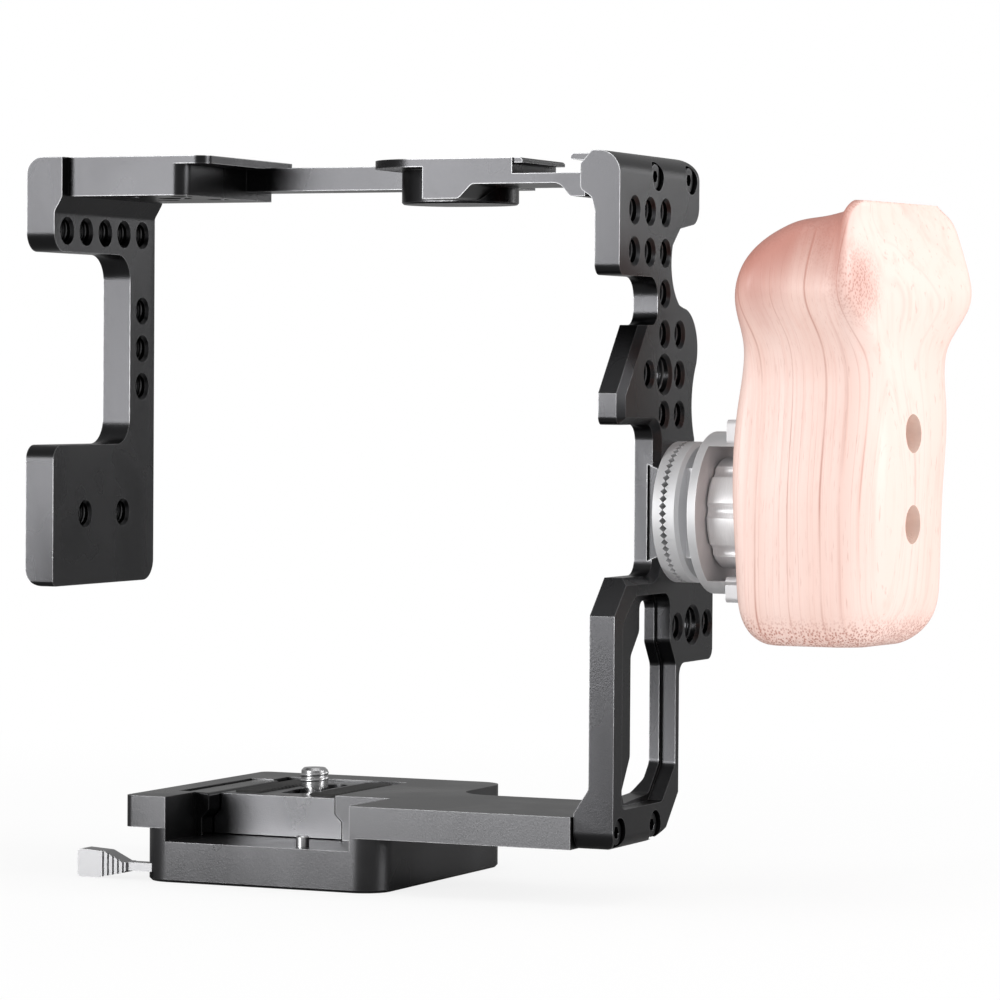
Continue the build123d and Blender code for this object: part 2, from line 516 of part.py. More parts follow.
# ---- side plate: outline cut to the section of the plate --------------------------------------------
with BuildPart() as side_plate:
    with BuildSketch(side_plane(head_inner)) as side_outline:
        with BuildLine():
            Polyline(
                (-0.2, grid_top - 7.0), (4.2, grid_top - 3.2), (15.6, grid_top - 1.6), (15.6, CAGE_TOP),
                (SIDE_REAR, CAGE_TOP), (SIDE_REAR, notch_top), (-8.9, notch_top), (-8.9, notch_bottom),
                (-16.6, notch_bottom), (-28.6, wedge_corner), (-28.6, wedge_bottom), (-7.4, wedge_bottom),
                (-7.4, ROSETTE_Z - 13.9), (-24.3, ROSETTE_Z - 13.9), (LEG_REAR, ROSETTE_Z - 22.0),
                (LEG_REAR, FOOT_BOTTOM), (-9.0, FOOT_BOTTOM), (-1.5, FOOT_BOTTOM + 2.7),
                (LEG_FRONT, FOOT_BOTTOM + 10.1), (LEG_FRONT, LUG_BOTTOM), (25.9, LUG_BOTTOM),
                (25.9, LUG_BOTTOM + 25.6), (13.6, grid_top - 60.4), (13.6, grid_top - 50.4))
            ThreePointArc((13.6, grid_top - 50.4), (11.9, grid_top - 41.9), (14.6, grid_top - 33.4))
            ThreePointArc((14.6, grid_top - 33.4), (14.2, grid_top - 26.0), (6.6, grid_top - 21.0))
            Line((6.6, grid_top - 21.0), (4.0, grid_top - 20.4))
            ThreePointArc((4.0, grid_top - 20.4), (-0.7, grid_top - 13.4), (-0.2, grid_top - 7.0))
        make_face()
        fillet(nearest(side_outline, (15.6, CAGE_TOP), (15.6, grid_top - 1.6)), 4.2)
        fillet(nearest(side_outline, (SIDE_REAR, notch_top)), 2.5)
        fillet(nearest(side_outline, (-8.9, notch_top)), 4.4)
        fillet(nearest(side_outline, (-8.9, notch_bottom)), 3.4)
        fillet(nearest(side_outline, (-28.6, wedge_bottom)), 1.8)
        fillet(nearest(side_outline, (-7.4, wedge_bottom), (-7.4, ROSETTE_Z - 13.9)), 3.6)
        fillet(nearest(side_outline, (LEG_REAR, FOOT_BOTTOM)), 4.0)
        fillet(nearest(side_outline, (-9.0, FOOT_BOTTOM)), 8.0)
        fillet(nearest(side_outline, (LEG_FRONT, LUG_BOTTOM)), 3.0)
        fillet(nearest(side_outline, (25.9, LUG_BOTTOM)), 2.6)
    extrude(amount=SIDE_OUTER - head_inner)
    with BuildSketch(rear_plane(-60.0)) as side_section:
        with BuildLine():
            Polyline(
                (head_inner, FOOT_BOTTOM), (SIDE_OUTER, FOOT_BOTTOM), (SIDE_OUTER, CAGE_TOP),
                (head_inner + 2.7, CAGE_TOP), (head_inner, CAGE_TOP - 2.9), (head_inner, CAGE_TOP - 8.4),
                (side_inner - 0.8, CAGE_TOP - 10.2), (side_inner, CAGE_TOP - 13.2),
                (side_inner, FOOT_BOTTOM + 13.3), (head_inner, FOOT_BOTTOM + 7.9), close=True)
        make_face()
        fillet(nearest(side_section, (SIDE_OUTER, CAGE_TOP)), TOP_ROUND)
        fillet(nearest(side_section, (SIDE_OUTER, FOOT_BOTTOM)), 3.0)
        fillet(nearest(side_section, (head_inner, CAGE_TOP - 8.4)), 1.4)
        fillet(nearest(side_section, (side_inner - 0.8, CAGE_TOP - 10.2), (side_inner, CAGE_TOP - 13.2)), 1.6)
        fillet(nearest(side_section, (side_inner, FOOT_BOTTOM + 13.3), (head_inner, FOOT_BOTTOM + 7.9)), 1.8)
    extrude(amount=-120.0, mode=Mode.INTERSECT)
    # heavier chamfer round the wedge behind the grid of threads
    rim = side_plate.faces().filter_by(Axis.X).sort_by(Axis.X)[-1].outer_wire().edges()
    chamfer(rim.filter_by(lambda e: wedge_bottom < e.center().Z < notch_bottom and e.center().Y < -18), 1.6)
    # lip and groove that hold the right edge of an accessory foot
    with BuildSketch(rear_plane(TOP_REAR + 1.5)):
        with BuildLine():
            Polyline((head_inner - 4.2, shoe_top - SHOE_LIP + 0.6), (head_inner + 3.0, shoe_top - SHOE_LIP),
                     (head_inner + 3.0, CAGE_TOP - 0.4), (head_inner - 3.6, CAGE_TOP - 0.4),
                     (head_inner - 4.2, CAGE_TOP - 0.9), close=True)
        make_face()
    extrude(amount=-14.9)
    with BuildSketch(rear_plane(TOP_REAR)):
        with Locations((head_inner - 1.0, shoe_floor)):
            Rectangle(1.0 + SHOE_GROOVE, SHOE_DEPTH - SHOE_LIP, align=(Align.MIN, Align.MIN))
    extrude(amount=-16.4, mode=Mode.SUBTRACT)
    # dovetail groove for the rosette mount
    with BuildSketch(rear_plane(-60.0)):
        with BuildLine():
            Polyline(
                (web_outer, ROSETTE_Z - GROOVE_MOUTH - GROOVE_UNDERCUT),
                (SIDE_OUTER + 0.01, ROSETTE_Z - GROOVE_MOUTH),
                (SIDE_OUTER + 0.01, ROSETTE_Z + GROOVE_MOUTH),
                (web_outer, ROSETTE_Z + GROOVE_MOUTH + GROOVE_UNDERCUT), close=True)
        make_face()
    extrude(amount=-120.0, mode=Mode.SUBTRACT)
    # window in the leg: wide outside, with a ledge round its rear inside
    with BuildSketch(side_plane(SIDE_OUTER)) as window:
        with BuildLine():
            Polyline((-27.6, window_sill), (-27.6, window_head - 5.6), (-20.5, window_head), (0.0, window_head),
                     (0.0, window_head - 11.0), (3.6, window_head - 16.0), (3.6, window_sill + 7.6),
                     (-4.0, window_sill), close=True)
        make_face()
        fillet(nearest(window, (-27.6, window_head - 5.6), (-20.5, window_head)), 4.5)
        fillet(nearest(window, (0.0, window_head)), 3.6)
        fillet(nearest(window, (0.0, window_head - 11.0), (3.6, window_head - 16.0), (3.6, window_sill + 7.6),
                       (-4.0, window_sill)), 2.0)
        fillet(nearest(window, (-27.6, window_sill)), 2.0)
    extrude(amount=-(SIDE_THICKNESS - LEDGE), mode=Mode.SUBTRACT)
    with BuildSketch(side_plane(head_inner - 1.0)) as through:
        with BuildLine():
            Polyline((-19.5, window_sill + 3.0), (-14.6, window_sill + 10.6), (-14.6, window_head - 13.6),
                     (-9.7, window_head - 8.4), (-9.7, window_head - 1.6), (-1.0, window_head - 1.6),
                     (-1.0, window_head - 11.2), (2.4, window_head - 16.2), (2.4, window_sill + 8.0),
                     (-3.6, window_sill + 1.6), (-18.0, window_sill + 0.6), close=True)
        make_face()
        fillet(nearest(through, (-14.6, window_sill + 10.6), (-14.6, window_head - 13.6),
                       (-9.7, window_head - 8.4), (-9.7, window_head - 1.6)), 2.0)
        fillet(nearest(through, (-1.0, window_head - 1.6), (-1.0, window_head - 11.2),
                       (2.4, window_head - 16.2)), 2.0)
        fillet(nearest(through, (2.4, window_sill + 8.0), (-3.6, window_sill + 1.6)), 2.6)
    extrude(amount=side_inner + LEDGE + 0.1 - head_inner + 1.0, mode=Mode.SUBTRACT)
    # screw recesses cut into the rounded top and bottom edges
    with BuildSketch(side_plane(recess_floor)):
        with Locations(*top_screw_points, *bottom_screw_points):
            Circle(SCREW_RECESS)
    extrude(amount=10.0, mode=Mode.SUBTRACT)
    with BuildSketch(side_plane(recess_floor)):
        with Locations(*top_screw_points, *bottom_screw_points):
            Circle(SCREW + RUN)
    extrude(amount=-10.0, mode=Mode.SUBTRACT)
    # accessory threads on a square grid, with 3/8 inch ones at two places
    grid = [(-2, 0), (-1, 0), (0, 0), (-2, 1), (-1, 1), (0, 1), (0, 2), (0, 3), (1, 3), (-1, 4), (1, 4),
            (0, 5), (1, 5)]
    quarter_points = [(GRID_Y + HOLE_PITCH * c, grid_top - HOLE_PITCH * r) for c, r in grid]
    quarter_points += [(ROSETTE_Y, lug_row), (ROSETTE_Y + 2 * HOLE_PITCH, lug_row)]
    large_points = [(GRID_Y, grid_top - 4 * HOLE_PITCH), (ROSETTE_Y + HOLE_PITCH, lug_row)]
    for x, flip in ((SIDE_OUTER, 1), (side_inner, -1)):
        with Locations(Plane(origin=(x, 0, 0), x_dir=(0, 1, 0), z_dir=(flip, 0, 0))):
            with Locations(*[(y, flip * z) for y, z in quarter_points]):
                CounterSinkHole(radius=THREAD_QUARTER, counter_sink_radius=MOUTH_QUARTER,
                                depth=SIDE_THICKNESS, counter_sink_angle=90)
            with Locations(*[(y, flip * z) for y, z in large_points]):
                CounterSinkHole(radius=THREAD_THREE_EIGHTHS, counter_sink_radius=MOUTH_THREE_EIGHTHS,
                                depth=SIDE_THICKNESS, counter_sink_angle=90)
    # screws of the rosette mount come from inside, their heads sunk in the web
    with Locations(Plane(origin=(side_inner, 0, 0), x_dir=(0, 1, 0), z_dir=(-1, 0, 0))):
        with Locations(*[(y, -z) for y, z in mount_screw_points]):
            CounterBoreHole(radius=SCREW + RUN, counter_bore_radius=SCREW_HEAD + RUN,
                            counter_bore_depth=1.5, depth=WEB + 0.1)
side_plate.part.label = "side_plate"
export_step(side_plate.part, "parts/side_plate.step")

# ---- top plate ----------------------------------------------------------------------------------------
block_left = left_head_inner + JOIN
bar_front = LEFT_FRONT - 2.0
with BuildPart() as top_plate:
    # left block and its thin flange beside the opening for the camera's hot shoe
    with BuildSketch(Plane.XY.offset(left_top - LEFT_BLOCK_HEIGHT)) as left_block:
        with Locations((block_left, TOP_REAR)):
            Rectangle(-22.2 - block_left, bar_front - TOP_REAR, align=(Align.MIN, Align.MIN))
        fillet(nearest(left_block, (-22.2, TOP_REAR)), 3.3)
    extrude(amount=LEFT_BLOCK_HEIGHT)
    with BuildSketch(Plane.XY.offset(left_top - FLANGE)) as flange:
        with Locations((block_left + 5, TOP_REAR)):
            Rectangle(-16.8 - block_left - 5, bar_front - TOP_REAR, align=(Align.MIN, Align.MIN))
        fillet(nearest(flange, (-16.8, TOP_REAR)), 3.3)
    extrude(amount=FLANGE)
    # bar in front of the hot shoe
    with BuildSketch(Plane.XY.offset(shoe_top - BAR_HEIGHT)):
        with Locations((block_left + 5, 2.0)):
            Rectangle(46.0 - block_left - 5, bar_front - 2.0, align=(Align.MIN, Align.MIN))
    extrude(amount=BAR_HEIGHT)
    # right half: a thin flange with a big round corner over the centre block
    with BuildSketch(Plane.XY.offset(shoe_top - FLANGE)) as right_flange:
        with BuildLine():
            Polyline((20.8, TOP_REAR), (SHOE_LEFT, TOP_REAR), (SHOE_LEFT, TOP_REAR + SHOE_LENGTH),
                     (46.0, TOP_REAR + SHOE_LENGTH), (46.0, bar_front), (20.8, bar_front), close=True)
        make_face()
        fillet(nearest(right_flange, (20.8, TOP_REAR)), 14.0)
    extrude(amount=FLANGE)
    with BuildSketch(rear_plane(TOP_REAR)) as centre:
        with BuildLine():
            Polyline((37.6, shoe_top), (37.6, centre_bottom), (46.4, centre_bottom), (49.6, arm_bottom),
                     (SHOE_LEFT, arm_bottom), (SHOE_LEFT, shoe_top), close=True)
        make_face()
        fillet(nearest(centre, (46.4, centre_bottom), (49.6, arm_bottom)), 1.8)
    extrude(amount=-SHOE_LENGTH)
    # round boss under the centre block
    with BuildSketch(Plane.XY.offset(shoe_top - BOSS_HEIGHT)):
        with Locations((37.6, -8.0)):
            SlotOverall(27.0, 22.0)
    extrude(amount=BOSS_HEIGHT - FLANGE + 0.5)
    chamfer(top_plate.faces().sort_by(Axis.Z)[0].outer_wire().edges(), 0.4)
    # arm under the accessory shoe, thickened where it meets the side plate
    with BuildSketch(rear_plane(TOP_REAR)) as arm:
        with BuildLine():
            Polyline((SHOE_LEFT - 1, shoe_floor), (SHOE_LEFT - 1, arm_bottom), (head_inner - 6.2, arm_bottom),
                     (head_inner - 3.6, arm_end_bottom), (head_inner - JOIN, arm_end_bottom),
                     (head_inner - JOIN, shoe_floor), close=True)
        make_face()
        fillet(nearest(arm, (head_inner - 6.2, arm_bottom)), 3.0)
        fillet(nearest(arm, (head_inner - 3.6, arm_end_bottom)), 1.4)
    extrude(amount=-SHOE_LENGTH)
    # nose that holds down the left edge of an accessory foot
    with BuildSketch(rear_plane(TOP_REAR + 0.6)):
        with BuildLine():
            Polyline((SHOE_LEFT - 1, shoe_top - SHOE_LIP), (SHOE_LEFT + SHOE_NOSE, shoe_top - SHOE_LIP),
                     (SHOE_LEFT + SHOE_NOSE, shoe_top - 0.4), (SHOE_LEFT + SHOE_NOSE - 0.5, shoe_top),
                     (SHOE_LEFT - 1, shoe_top), close=True)
        make_face()
    extrude(amount=-(SHOE_LENGTH - 0.6))
    # end block that stops the foot and takes the side plate's screws
    with BuildSketch(rear_plane(-11.6)) as end_block:
        with BuildLine():
            Polyline((head_inner - 6.0, arm_end_bottom), (head_inner - JOIN, arm_end_bottom),
                     (head_inner - JOIN, shoe_top - 2.0), (head_inner - 1.0, shoe_top),
                     (head_inner - 6.0, shoe_top), close=True)
        make_face()
        fillet(nearest(end_block, (head_inner - 6.0, arm_end_bottom), (head_inner - 6.0, shoe_top)), 1.0)
    extrude(amount=-(11.6 + bar_front))
    with BuildSketch(side_plane(head_inner - JOIN)):
        with Locations(*top_screw_points):
            Circle(SCREW + TIGHT)
    extrude(amount=-5.0, mode=Mode.SUBTRACT)
    with BuildSketch(side_plane(block_left)):
        with Locations(*left_screw_points):
            Circle(SCREW + TIGHT)
    extrude(amount=9.0, mode=Mode.SUBTRACT)
    # threads in the top
    with Locations(Plane.XY.offset(left_top)):
        with Locations((-40.5, -20.0), (-40.5, -2.0), (-27.5, -20.0), (-27.5, -2.0)):
            CounterSinkHole(radius=THREAD_QUARTER, counter_sink_radius=MOUTH_QUARTER,
                            depth=12.0, counter_sink_angle=90)
        with Locations((-34.0, -11.0)):
            CounterSinkHole(radius=THREAD_THREE_EIGHTHS, counter_sink_radius=MOUTH_THREE_EIGHTHS,
                            depth=12.0, counter_sink_angle=90)
    with Locations(Plane.XY.offset(shoe_top)):
        with Locations((28.0, 8.5), (37.0, 8.5)):
            CounterSinkHole(radius=THREAD_QUARTER, counter_sink_radius=MOUTH_QUARTER,
                            depth=12.0, counter_sink_angle=90)
top_plate.part.label = "top_plate"
export_step(top_plate.part, "parts/top_plate.step")

# ---- left side plate ---------------------------------------------------------------------------------
with BuildPart() as left_side_plate:
    with BuildSketch(side_plane(LEFT_OUTER)) as left_outline:
        with BuildLine():
            Polyline((SIDE_REAR, left_top), (SIDE_REAR, window_top), (5.0, window_top), (5.0, BRACKET_TOP),
                     (SIDE_REAR, BRACKET_TOP), (SIDE_REAR, BRACKET_BOTTOM), (LEFT_FRONT, BRACKET_BOTTOM),
                     (LEFT_FRONT, left_top), close=True)
        make_face()
        fillet(nearest(left_outline, (SIDE_REAR, window_top)), 4.5)
        fillet(nearest(left_outline, (5.0, window_top), (5.0, BRACKET_TOP)), 6.0)
        fillet(nearest(left_outline, (SIDE_REAR, BRACKET_TOP)), 3.6)
        fillet(nearest(left_outline, (SIDE_REAR, BRACKET_BOTTOM)), 1.2)
        fillet(nearest(left_outline, (LEFT_FRONT, BRACKET_BOTTOM), (LEFT_FRONT, left_top)), 5.0)
    extrude(amount=LEFT_THICKNESS + LEFT_HEAD)
    with BuildSketch(rear_plane(-60.0)) as left_section:
        with BuildLine():
            Polyline((LEFT_OUTER, BRACKET_BOTTOM), (LEFT_OUTER, left_top), (left_head_inner, left_top),
                     (left_head_inner, left_top - 9.2), (left_inner, left_top - 12.6),
                     (left_inner, BRACKET_BOTTOM), close=True)
        make_face()
        fillet(nearest(left_section, (LEFT_OUTER, left_top), (LEFT_OUTER, BRACKET_BOTTOM)), 4.0)
        fillet(nearest(left_section, (left_head_inner, left_top - 9.2), (left_inner, left_top - 12.6)), 1.5)
    extrude(amount=-120.0, mode=Mode.INTERSECT)
    left_row = left_top - LEFT_ROW_DROP
    bracket_row = (BRACKET_TOP + BRACKET_BOTTOM) / 2 + 0.15
    left_points = [(-25.2 + HOLE_PITCH * i, left_row) for i in range(5)]
    left_points += [(LEFT_FRONT - 6.0, left_row - HOLE_PITCH * i) for i in range(2, 5)]
    left_points += [(-16.2, bracket_row), (1.8, bracket_row)]
    for x, flip in ((LEFT_OUTER, -1), (left_inner, 1)):
        with Locations(Plane(origin=(x, 0, 0), x_dir=(0, 1, 0), z_dir=(flip, 0, 0))):
            with Locations(*[(y, flip * z) for y, z in left_points]):
                CounterSinkHole(radius=THREAD_QUARTER, counter_sink_radius=MOUTH_QUARTER,
                                depth=LEFT_THICKNESS, counter_sink_angle=90)
    with BuildSketch(side_plane(left_recess)):
        with Locations(*left_screw_points):
            Circle(SCREW_RECESS)
    extrude(amount=-10.0, mode=Mode.SUBTRACT)
    with BuildSketch(side_plane(left_recess)):
        with Locations(*left_screw_points):
            Circle(SCREW + RUN)
    extrude(amount=10.0, mode=Mode.SUBTRACT)
left_side_plate.part.label = "left_side_plate"
export_step(left_side_plate.part, "parts/left_side_plate.step")

# ---- screws that join the plates -----------------------------------------------------------------------
top_screws = socket_screws(recess_floor, top_screw_points, -1, recess_floor - head_inner + 4.0)
top_screws.part.label = "top_screws"
export_step(top_screws.part, "parts/top_screws.step")

bottom_screws = socket_screws(recess_floor, bottom_screw_points, -1, recess_floor - arm_end + 7.0)
bottom_screws.part.label = "bottom_screws"
export_step(bottom_screws.part, "parts/bottom_screws.step")

left_screws = socket_screws(left_recess, left_screw_points, 1, left_head_inner - left_recess + 8.0)
left_screws.part.label = "left_screws"
export_step(left_screws.part, "parts/left_screws.step")

# ---- rosette mount on the cage ---------------------------------------------------------------------------
mount_groove = groove(mount_tips, -1)
with BuildPart() as rosette_mount:
    with BuildSketch(axis_plane(mount_face)):
        Circle(ROSETTE_RADIUS)
    extrude(amount=MOUNT_DISC)
    with BuildSketch(rear_plane(ROSETTE_Y - 11.0)):
        with BuildLine():
            Polyline(
                (web_outer + JOIN, ROSETTE_Z - GROOVE_MOUTH - GROOVE_UNDERCUT + SLIP),
                (mount_face, ROSETTE_Z - GROOVE_MOUTH + SLIP),
                (mount_face, ROSETTE_Z + GROOVE_MOUTH - SLIP),
                (web_outer + JOIN, ROSETTE_Z + GROOVE_MOUTH + GROOVE_UNDERCUT - SLIP), close=True)
        make_face()
    extrude(amount=-20.0)
    with BuildSketch(axis_plane(mount_tips)):
        Circle(ROSETTE_BORE)
    extrude(amount=-1.2, mode=Mode.SUBTRACT)
    with BuildSketch(axis_plane(mount_tips)):
        Circle(STUD + RUN)
    extrude(amount=-10.0, mode=Mode.SUBTRACT)
    with BuildSketch(side_plane(web_outer)):
        with Locations(*mount_screw_points):
            Circle(SCREW + TIGHT)
    extrude(amount=3.6, mode=Mode.SUBTRACT)
    with Locations(axis_plane(0)):
        with PolarLocations(0, ROSETTE_TEETH):
            add(mount_groove, mode=Mode.SUBTRACT)
rosette_mount.part.label = "rosette_mount"
export_step(rosette_mount.part, "parts/rosette_mount.step")

rosette_screws = socket_screws(side_inner + 1.5, mount_screw_points, 1, WEB + 1.8, height=1.4)
rosette_screws.part.label = "rosette_screws"
export_step(rosette_screws.part, "parts/rosette_screws.step")

# ---- handle: toothed disc, yoke, knob with its stud ---------------------------------------------------------
handle_groove = groove(handle_tips, 1)
with BuildPart() as handle_rosette:
    with BuildSketch(axis_plane(handle_tips)):
        Circle(ROSETTE_RADIUS)
    extrude(amount=HANDLE_DISC)
    chamfer(handle_rosette.edges().filter_by(GeomType.CIRCLE).sort_by(Axis.X)[-1], 0.8)
    with BuildSketch(axis_plane(neck_start)):
        Rectangle(NECK_WIDTH, NECK_WIDTH)
    extrude(amount=NECK_LENGTH)
    with BuildSketch(axis_plane(handle_tips)):
        Circle(ROSETTE_BORE)
    extrude(amount=1.2, mode=Mode.SUBTRACT)
    with BuildSketch(axis_plane(handle_tips)):
        Circle(STUD + RUN)
    extrude(amount=HANDLE_DISC + NECK_LENGTH, mode=Mode.SUBTRACT)
    with Locations(axis_plane(0)):
        with PolarLocations(0, ROSETTE_TEETH):
            add(handle_groove, mode=Mode.SUBTRACT)
handle_rosette.part.label = "handle_rosette"
export_step(handle_rosette.part, "parts/handle_rosette.step")

with BuildPart() as handle_yoke:
    with BuildSketch(axis_plane(yoke_start)):
        Circle(YOKE_RADIUS)
    extrude(amount=grip_inner - SEAT - yoke_start)
    with BuildSketch(axis_plane(yoke_start + YOKE_PLATE)):
        Rectangle(3 * YOKE_RADIUS, 2 * YOKE_OPENING)
    extrude(amount=grip_inner - yoke_start - YOKE_PLATE, mode=Mode.SUBTRACT)
    # lobes that carry the grip, and the core plate let into the wood
    with BuildSketch(axis_plane(grip_inner - LOBE_LENGTH)):
        for sign in (1, -1):
            with Locations((0, sign * (LOBE_INNER + LOBE_OUTER) / 2 + LOBE_SHIFT)):
                RectangleRounded(2 * LOBE_HALF_WIDTH, LOBE_OUTER - LOBE_INNER, 1.2)
    extrude(amount=LOBE_LENGTH)
    with BuildSketch(axis_plane(grip_inner)):
        RectangleRounded(2 * LOBE_HALF_WIDTH, 2 * CORE_HALF_HEIGHT, 3.0)
    extrude(amount=CORE_THICKNESS)
    with BuildSketch(axis_plane(yoke_start)):
        Circle(STUD + RUN)
    extrude(amount=YOKE_PLATE + 0.1, mode=Mode.SUBTRACT)
    with BuildSketch(side_plane(grip_inner)):
        with Locations(*grip_screw_points):
            Circle(GRIP_SCREW + TIGHT)
    extrude(amount=CORE_THICKNESS, mode=Mode.SUBTRACT)
handle_yoke.part.label = "handle_yoke"
export_step(handle_yoke.part, "parts/handle_yoke.step")

with BuildPart() as clamp_knob:
    with BuildSketch(axis_plane(knob_start)):
        Circle(KNOB_RADIUS)
        with PolarLocations(KNOB_RADIUS + 0.4, KNOB_SCALLOPS, start_angle=176.5):
            Circle(KNOB_SCALLOP, mode=Mode.SUBTRACT)
        Circle(STUD + TIGHT, mode=Mode.SUBTRACT)
    extrude(amount=KNOB_WIDTH)
    rims = clamp_knob.edges().filter_by(GeomType.CIRCLE)
    chamfer(rims.filter_by(lambda e: abs(e.radius - KNOB_RADIUS) < 0.1), 0.6)
clamp_knob.part.label = "clamp_knob"
export_step(clamp_knob.part, "parts/clamp_knob.step")

stud_start = web_outer + 0.4
with BuildPart() as clamp_stud:
    with BuildSketch(axis_plane(stud_start)):
        Circle(STUD)
    extrude(amount=knob_start + KNOB_WIDTH - stud_start)
    chamfer(clamp_stud.edges().filter_by(GeomType.CIRCLE).sort_by(Axis.X)[0], 0.5)
clamp_stud.part.label = "clamp_stud"
export_step(clamp_stud.part, "parts/clamp_stud.step")

# ---- wooden grip ---------------------------------------------------------------------------------------------
# each section: height, inner face X, outer X at the rear and at the front, rear Y, front Y, then the
# radii of the inner rear, outer rear, outer front and inner front corners
grip_sections = [
    (57.0, grip_inner + 6.4, 133.6, 136.4, -9.0, 20.0, 4.0, 6.0, 8.0, 6.0),
    (58.8, grip_inner + 3.2, 136.6, 139.6, -12.0, 26.0, 4.5, 8.0, 11.0, 7.0),
    (62.6, grip_inner + 1.4, 138.8, 142.2, -14.0, 30.0, 4.0, 10.0, 12.0, 7.0),
    (72.0, grip_inner + 0.6, 140.2, 143.4, -15.2, 31.4, 3.4, 11.0, 12.0, 7.0),
    (92.0, grip_inner, 140.8, 143.7, -16.0, 31.8, 3.0, 11.0, 12.0, 7.0),
    (110.0, grip_inner + 0.6, 140.0, 144.2, -14.8, 33.2, 3.2, 10.0, 12.0, 7.0),
    (123.0, grip_inner + 2.2, 138.6, 145.0, -16.6, 33.4, 4.0, 7.0, 12.0, 8.0),
    (134.0, grip_inner + 2.6, 136.6, 148.6, -24.0, 41.0, 5.0, 4.0, 12.0, 9.0),
    (141.0, grip_inner + 4.4, 136.0, 147.6, -24.0, 40.6, 6.0, 4.0, 12.0, 9.0),
    (147.5, grip_inner + 10.0, 135.4, 146.0, -22.4, 39.0, 8.0, 4.0, 12.0, 9.0),
    (151.6, grip_inner + 18.6, 135.4, 144.2, -20.4, 33.6, 5.4, 3.4, 9.0, 7.0),
    (154.4, grip_inner + 25.2, 136.0, 141.8, -15.0, 24.0, 1.6, 1.6, 3.4, 2.6),
]
with BuildPart() as wood_grip:
    for height, inner, outer_rear, outer_front, rear, front, *radii in grip_sections:
        with BuildSketch(Plane.XY.offset(height)) as section:
            corners = [(inner, rear), (outer_rear, rear), (outer_front, front), (inner, front)]
            with BuildLine():
                Polyline(*corners, close=True)
            make_face()
            for corner, radius in zip(corners, radii):
                fillet(nearest(section, corner), radius)
    loft()
    with BuildSketch(axis_plane(0)):
        RectangleRounded(2 * LOBE_HALF_WIDTH + 2 * SLIP, 2 * CORE_HALF_HEIGHT + 2 * SLIP, 3.0)
    extrude(amount=grip_inner + CORE_THICKNESS + JOIN, mode=Mode.SUBTRACT)
    with BuildSketch(side_plane(grip_inner)):
        with Locations(*grip_screw_points):
            Circle(GRIP_SCREW + RUN)
    extrude(amount=60.0, mode=Mode.SUBTRACT)
    with BuildSketch(side_plane(grip_inner + GRIP_SCREW_SEAT)):
        with Locations(*grip_screw_points):
            Circle(GRIP_COUNTERBORE)
    extrude(amount=60.0, mode=Mode.SUBTRACT)
wood_grip.part.label = "wood_grip"
export_step(wood_grip.part, "parts/wood_grip.step")

grip_screws = socket_screws(grip_inner + GRIP_SCREW_SEAT + JOIN, grip_screw_points, -1, GRIP_SCREW_SEAT + JOIN,
                            head=GRIP_HEAD, shank=GRIP_SCREW, height=3.6)
grip_screws.part.label = "grip_screws"
export_step(grip_screws.part, "parts/grip_screws.step")
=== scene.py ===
"""Camera cage with a quick-release base and a wooden side handle.

The CAD nodes are finished here: edges eased, threads cut, the grip carved, the stop pin's
spring wound, and a procedural finish given to each metal, the rubber and the wood.
"""

import json
import math

import bmesh
import bpy
from mathutils import Matrix, Vector

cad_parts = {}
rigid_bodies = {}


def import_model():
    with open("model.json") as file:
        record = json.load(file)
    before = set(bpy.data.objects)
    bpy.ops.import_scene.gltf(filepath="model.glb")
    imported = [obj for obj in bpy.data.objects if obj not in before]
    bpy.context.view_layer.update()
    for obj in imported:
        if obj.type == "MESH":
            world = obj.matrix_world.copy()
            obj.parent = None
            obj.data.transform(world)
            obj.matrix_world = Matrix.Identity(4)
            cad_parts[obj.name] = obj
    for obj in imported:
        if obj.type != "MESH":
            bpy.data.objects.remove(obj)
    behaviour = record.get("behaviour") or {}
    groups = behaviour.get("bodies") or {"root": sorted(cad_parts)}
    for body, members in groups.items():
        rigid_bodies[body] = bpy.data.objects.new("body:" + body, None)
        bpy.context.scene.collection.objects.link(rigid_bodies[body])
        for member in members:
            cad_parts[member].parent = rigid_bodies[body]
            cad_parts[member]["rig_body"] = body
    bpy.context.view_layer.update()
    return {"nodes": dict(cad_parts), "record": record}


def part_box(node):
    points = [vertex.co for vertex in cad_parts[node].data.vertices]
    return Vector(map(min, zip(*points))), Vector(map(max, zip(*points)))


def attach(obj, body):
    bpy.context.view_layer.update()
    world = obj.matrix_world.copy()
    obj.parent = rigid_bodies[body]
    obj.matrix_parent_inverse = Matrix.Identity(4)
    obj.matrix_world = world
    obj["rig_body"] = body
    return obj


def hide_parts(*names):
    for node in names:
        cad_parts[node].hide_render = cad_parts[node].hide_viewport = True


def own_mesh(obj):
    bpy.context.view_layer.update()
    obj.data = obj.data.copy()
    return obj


bl_info = {
    "name": "Camera cage",
    "version": (1, 0, 0),
    "blender": (4, 5, 0),
    "location": "3D View > Sidebar > Cage",
    "description": "Finishes a camera cage with a wooden side handle round its CAD frame",
    "category": "Object",
}

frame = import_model()
MM = 0.001
EAST, NORTH, UP = Vector((1, 0, 0)), Vector((0, 1, 0)), Vector((0, 0, 1))

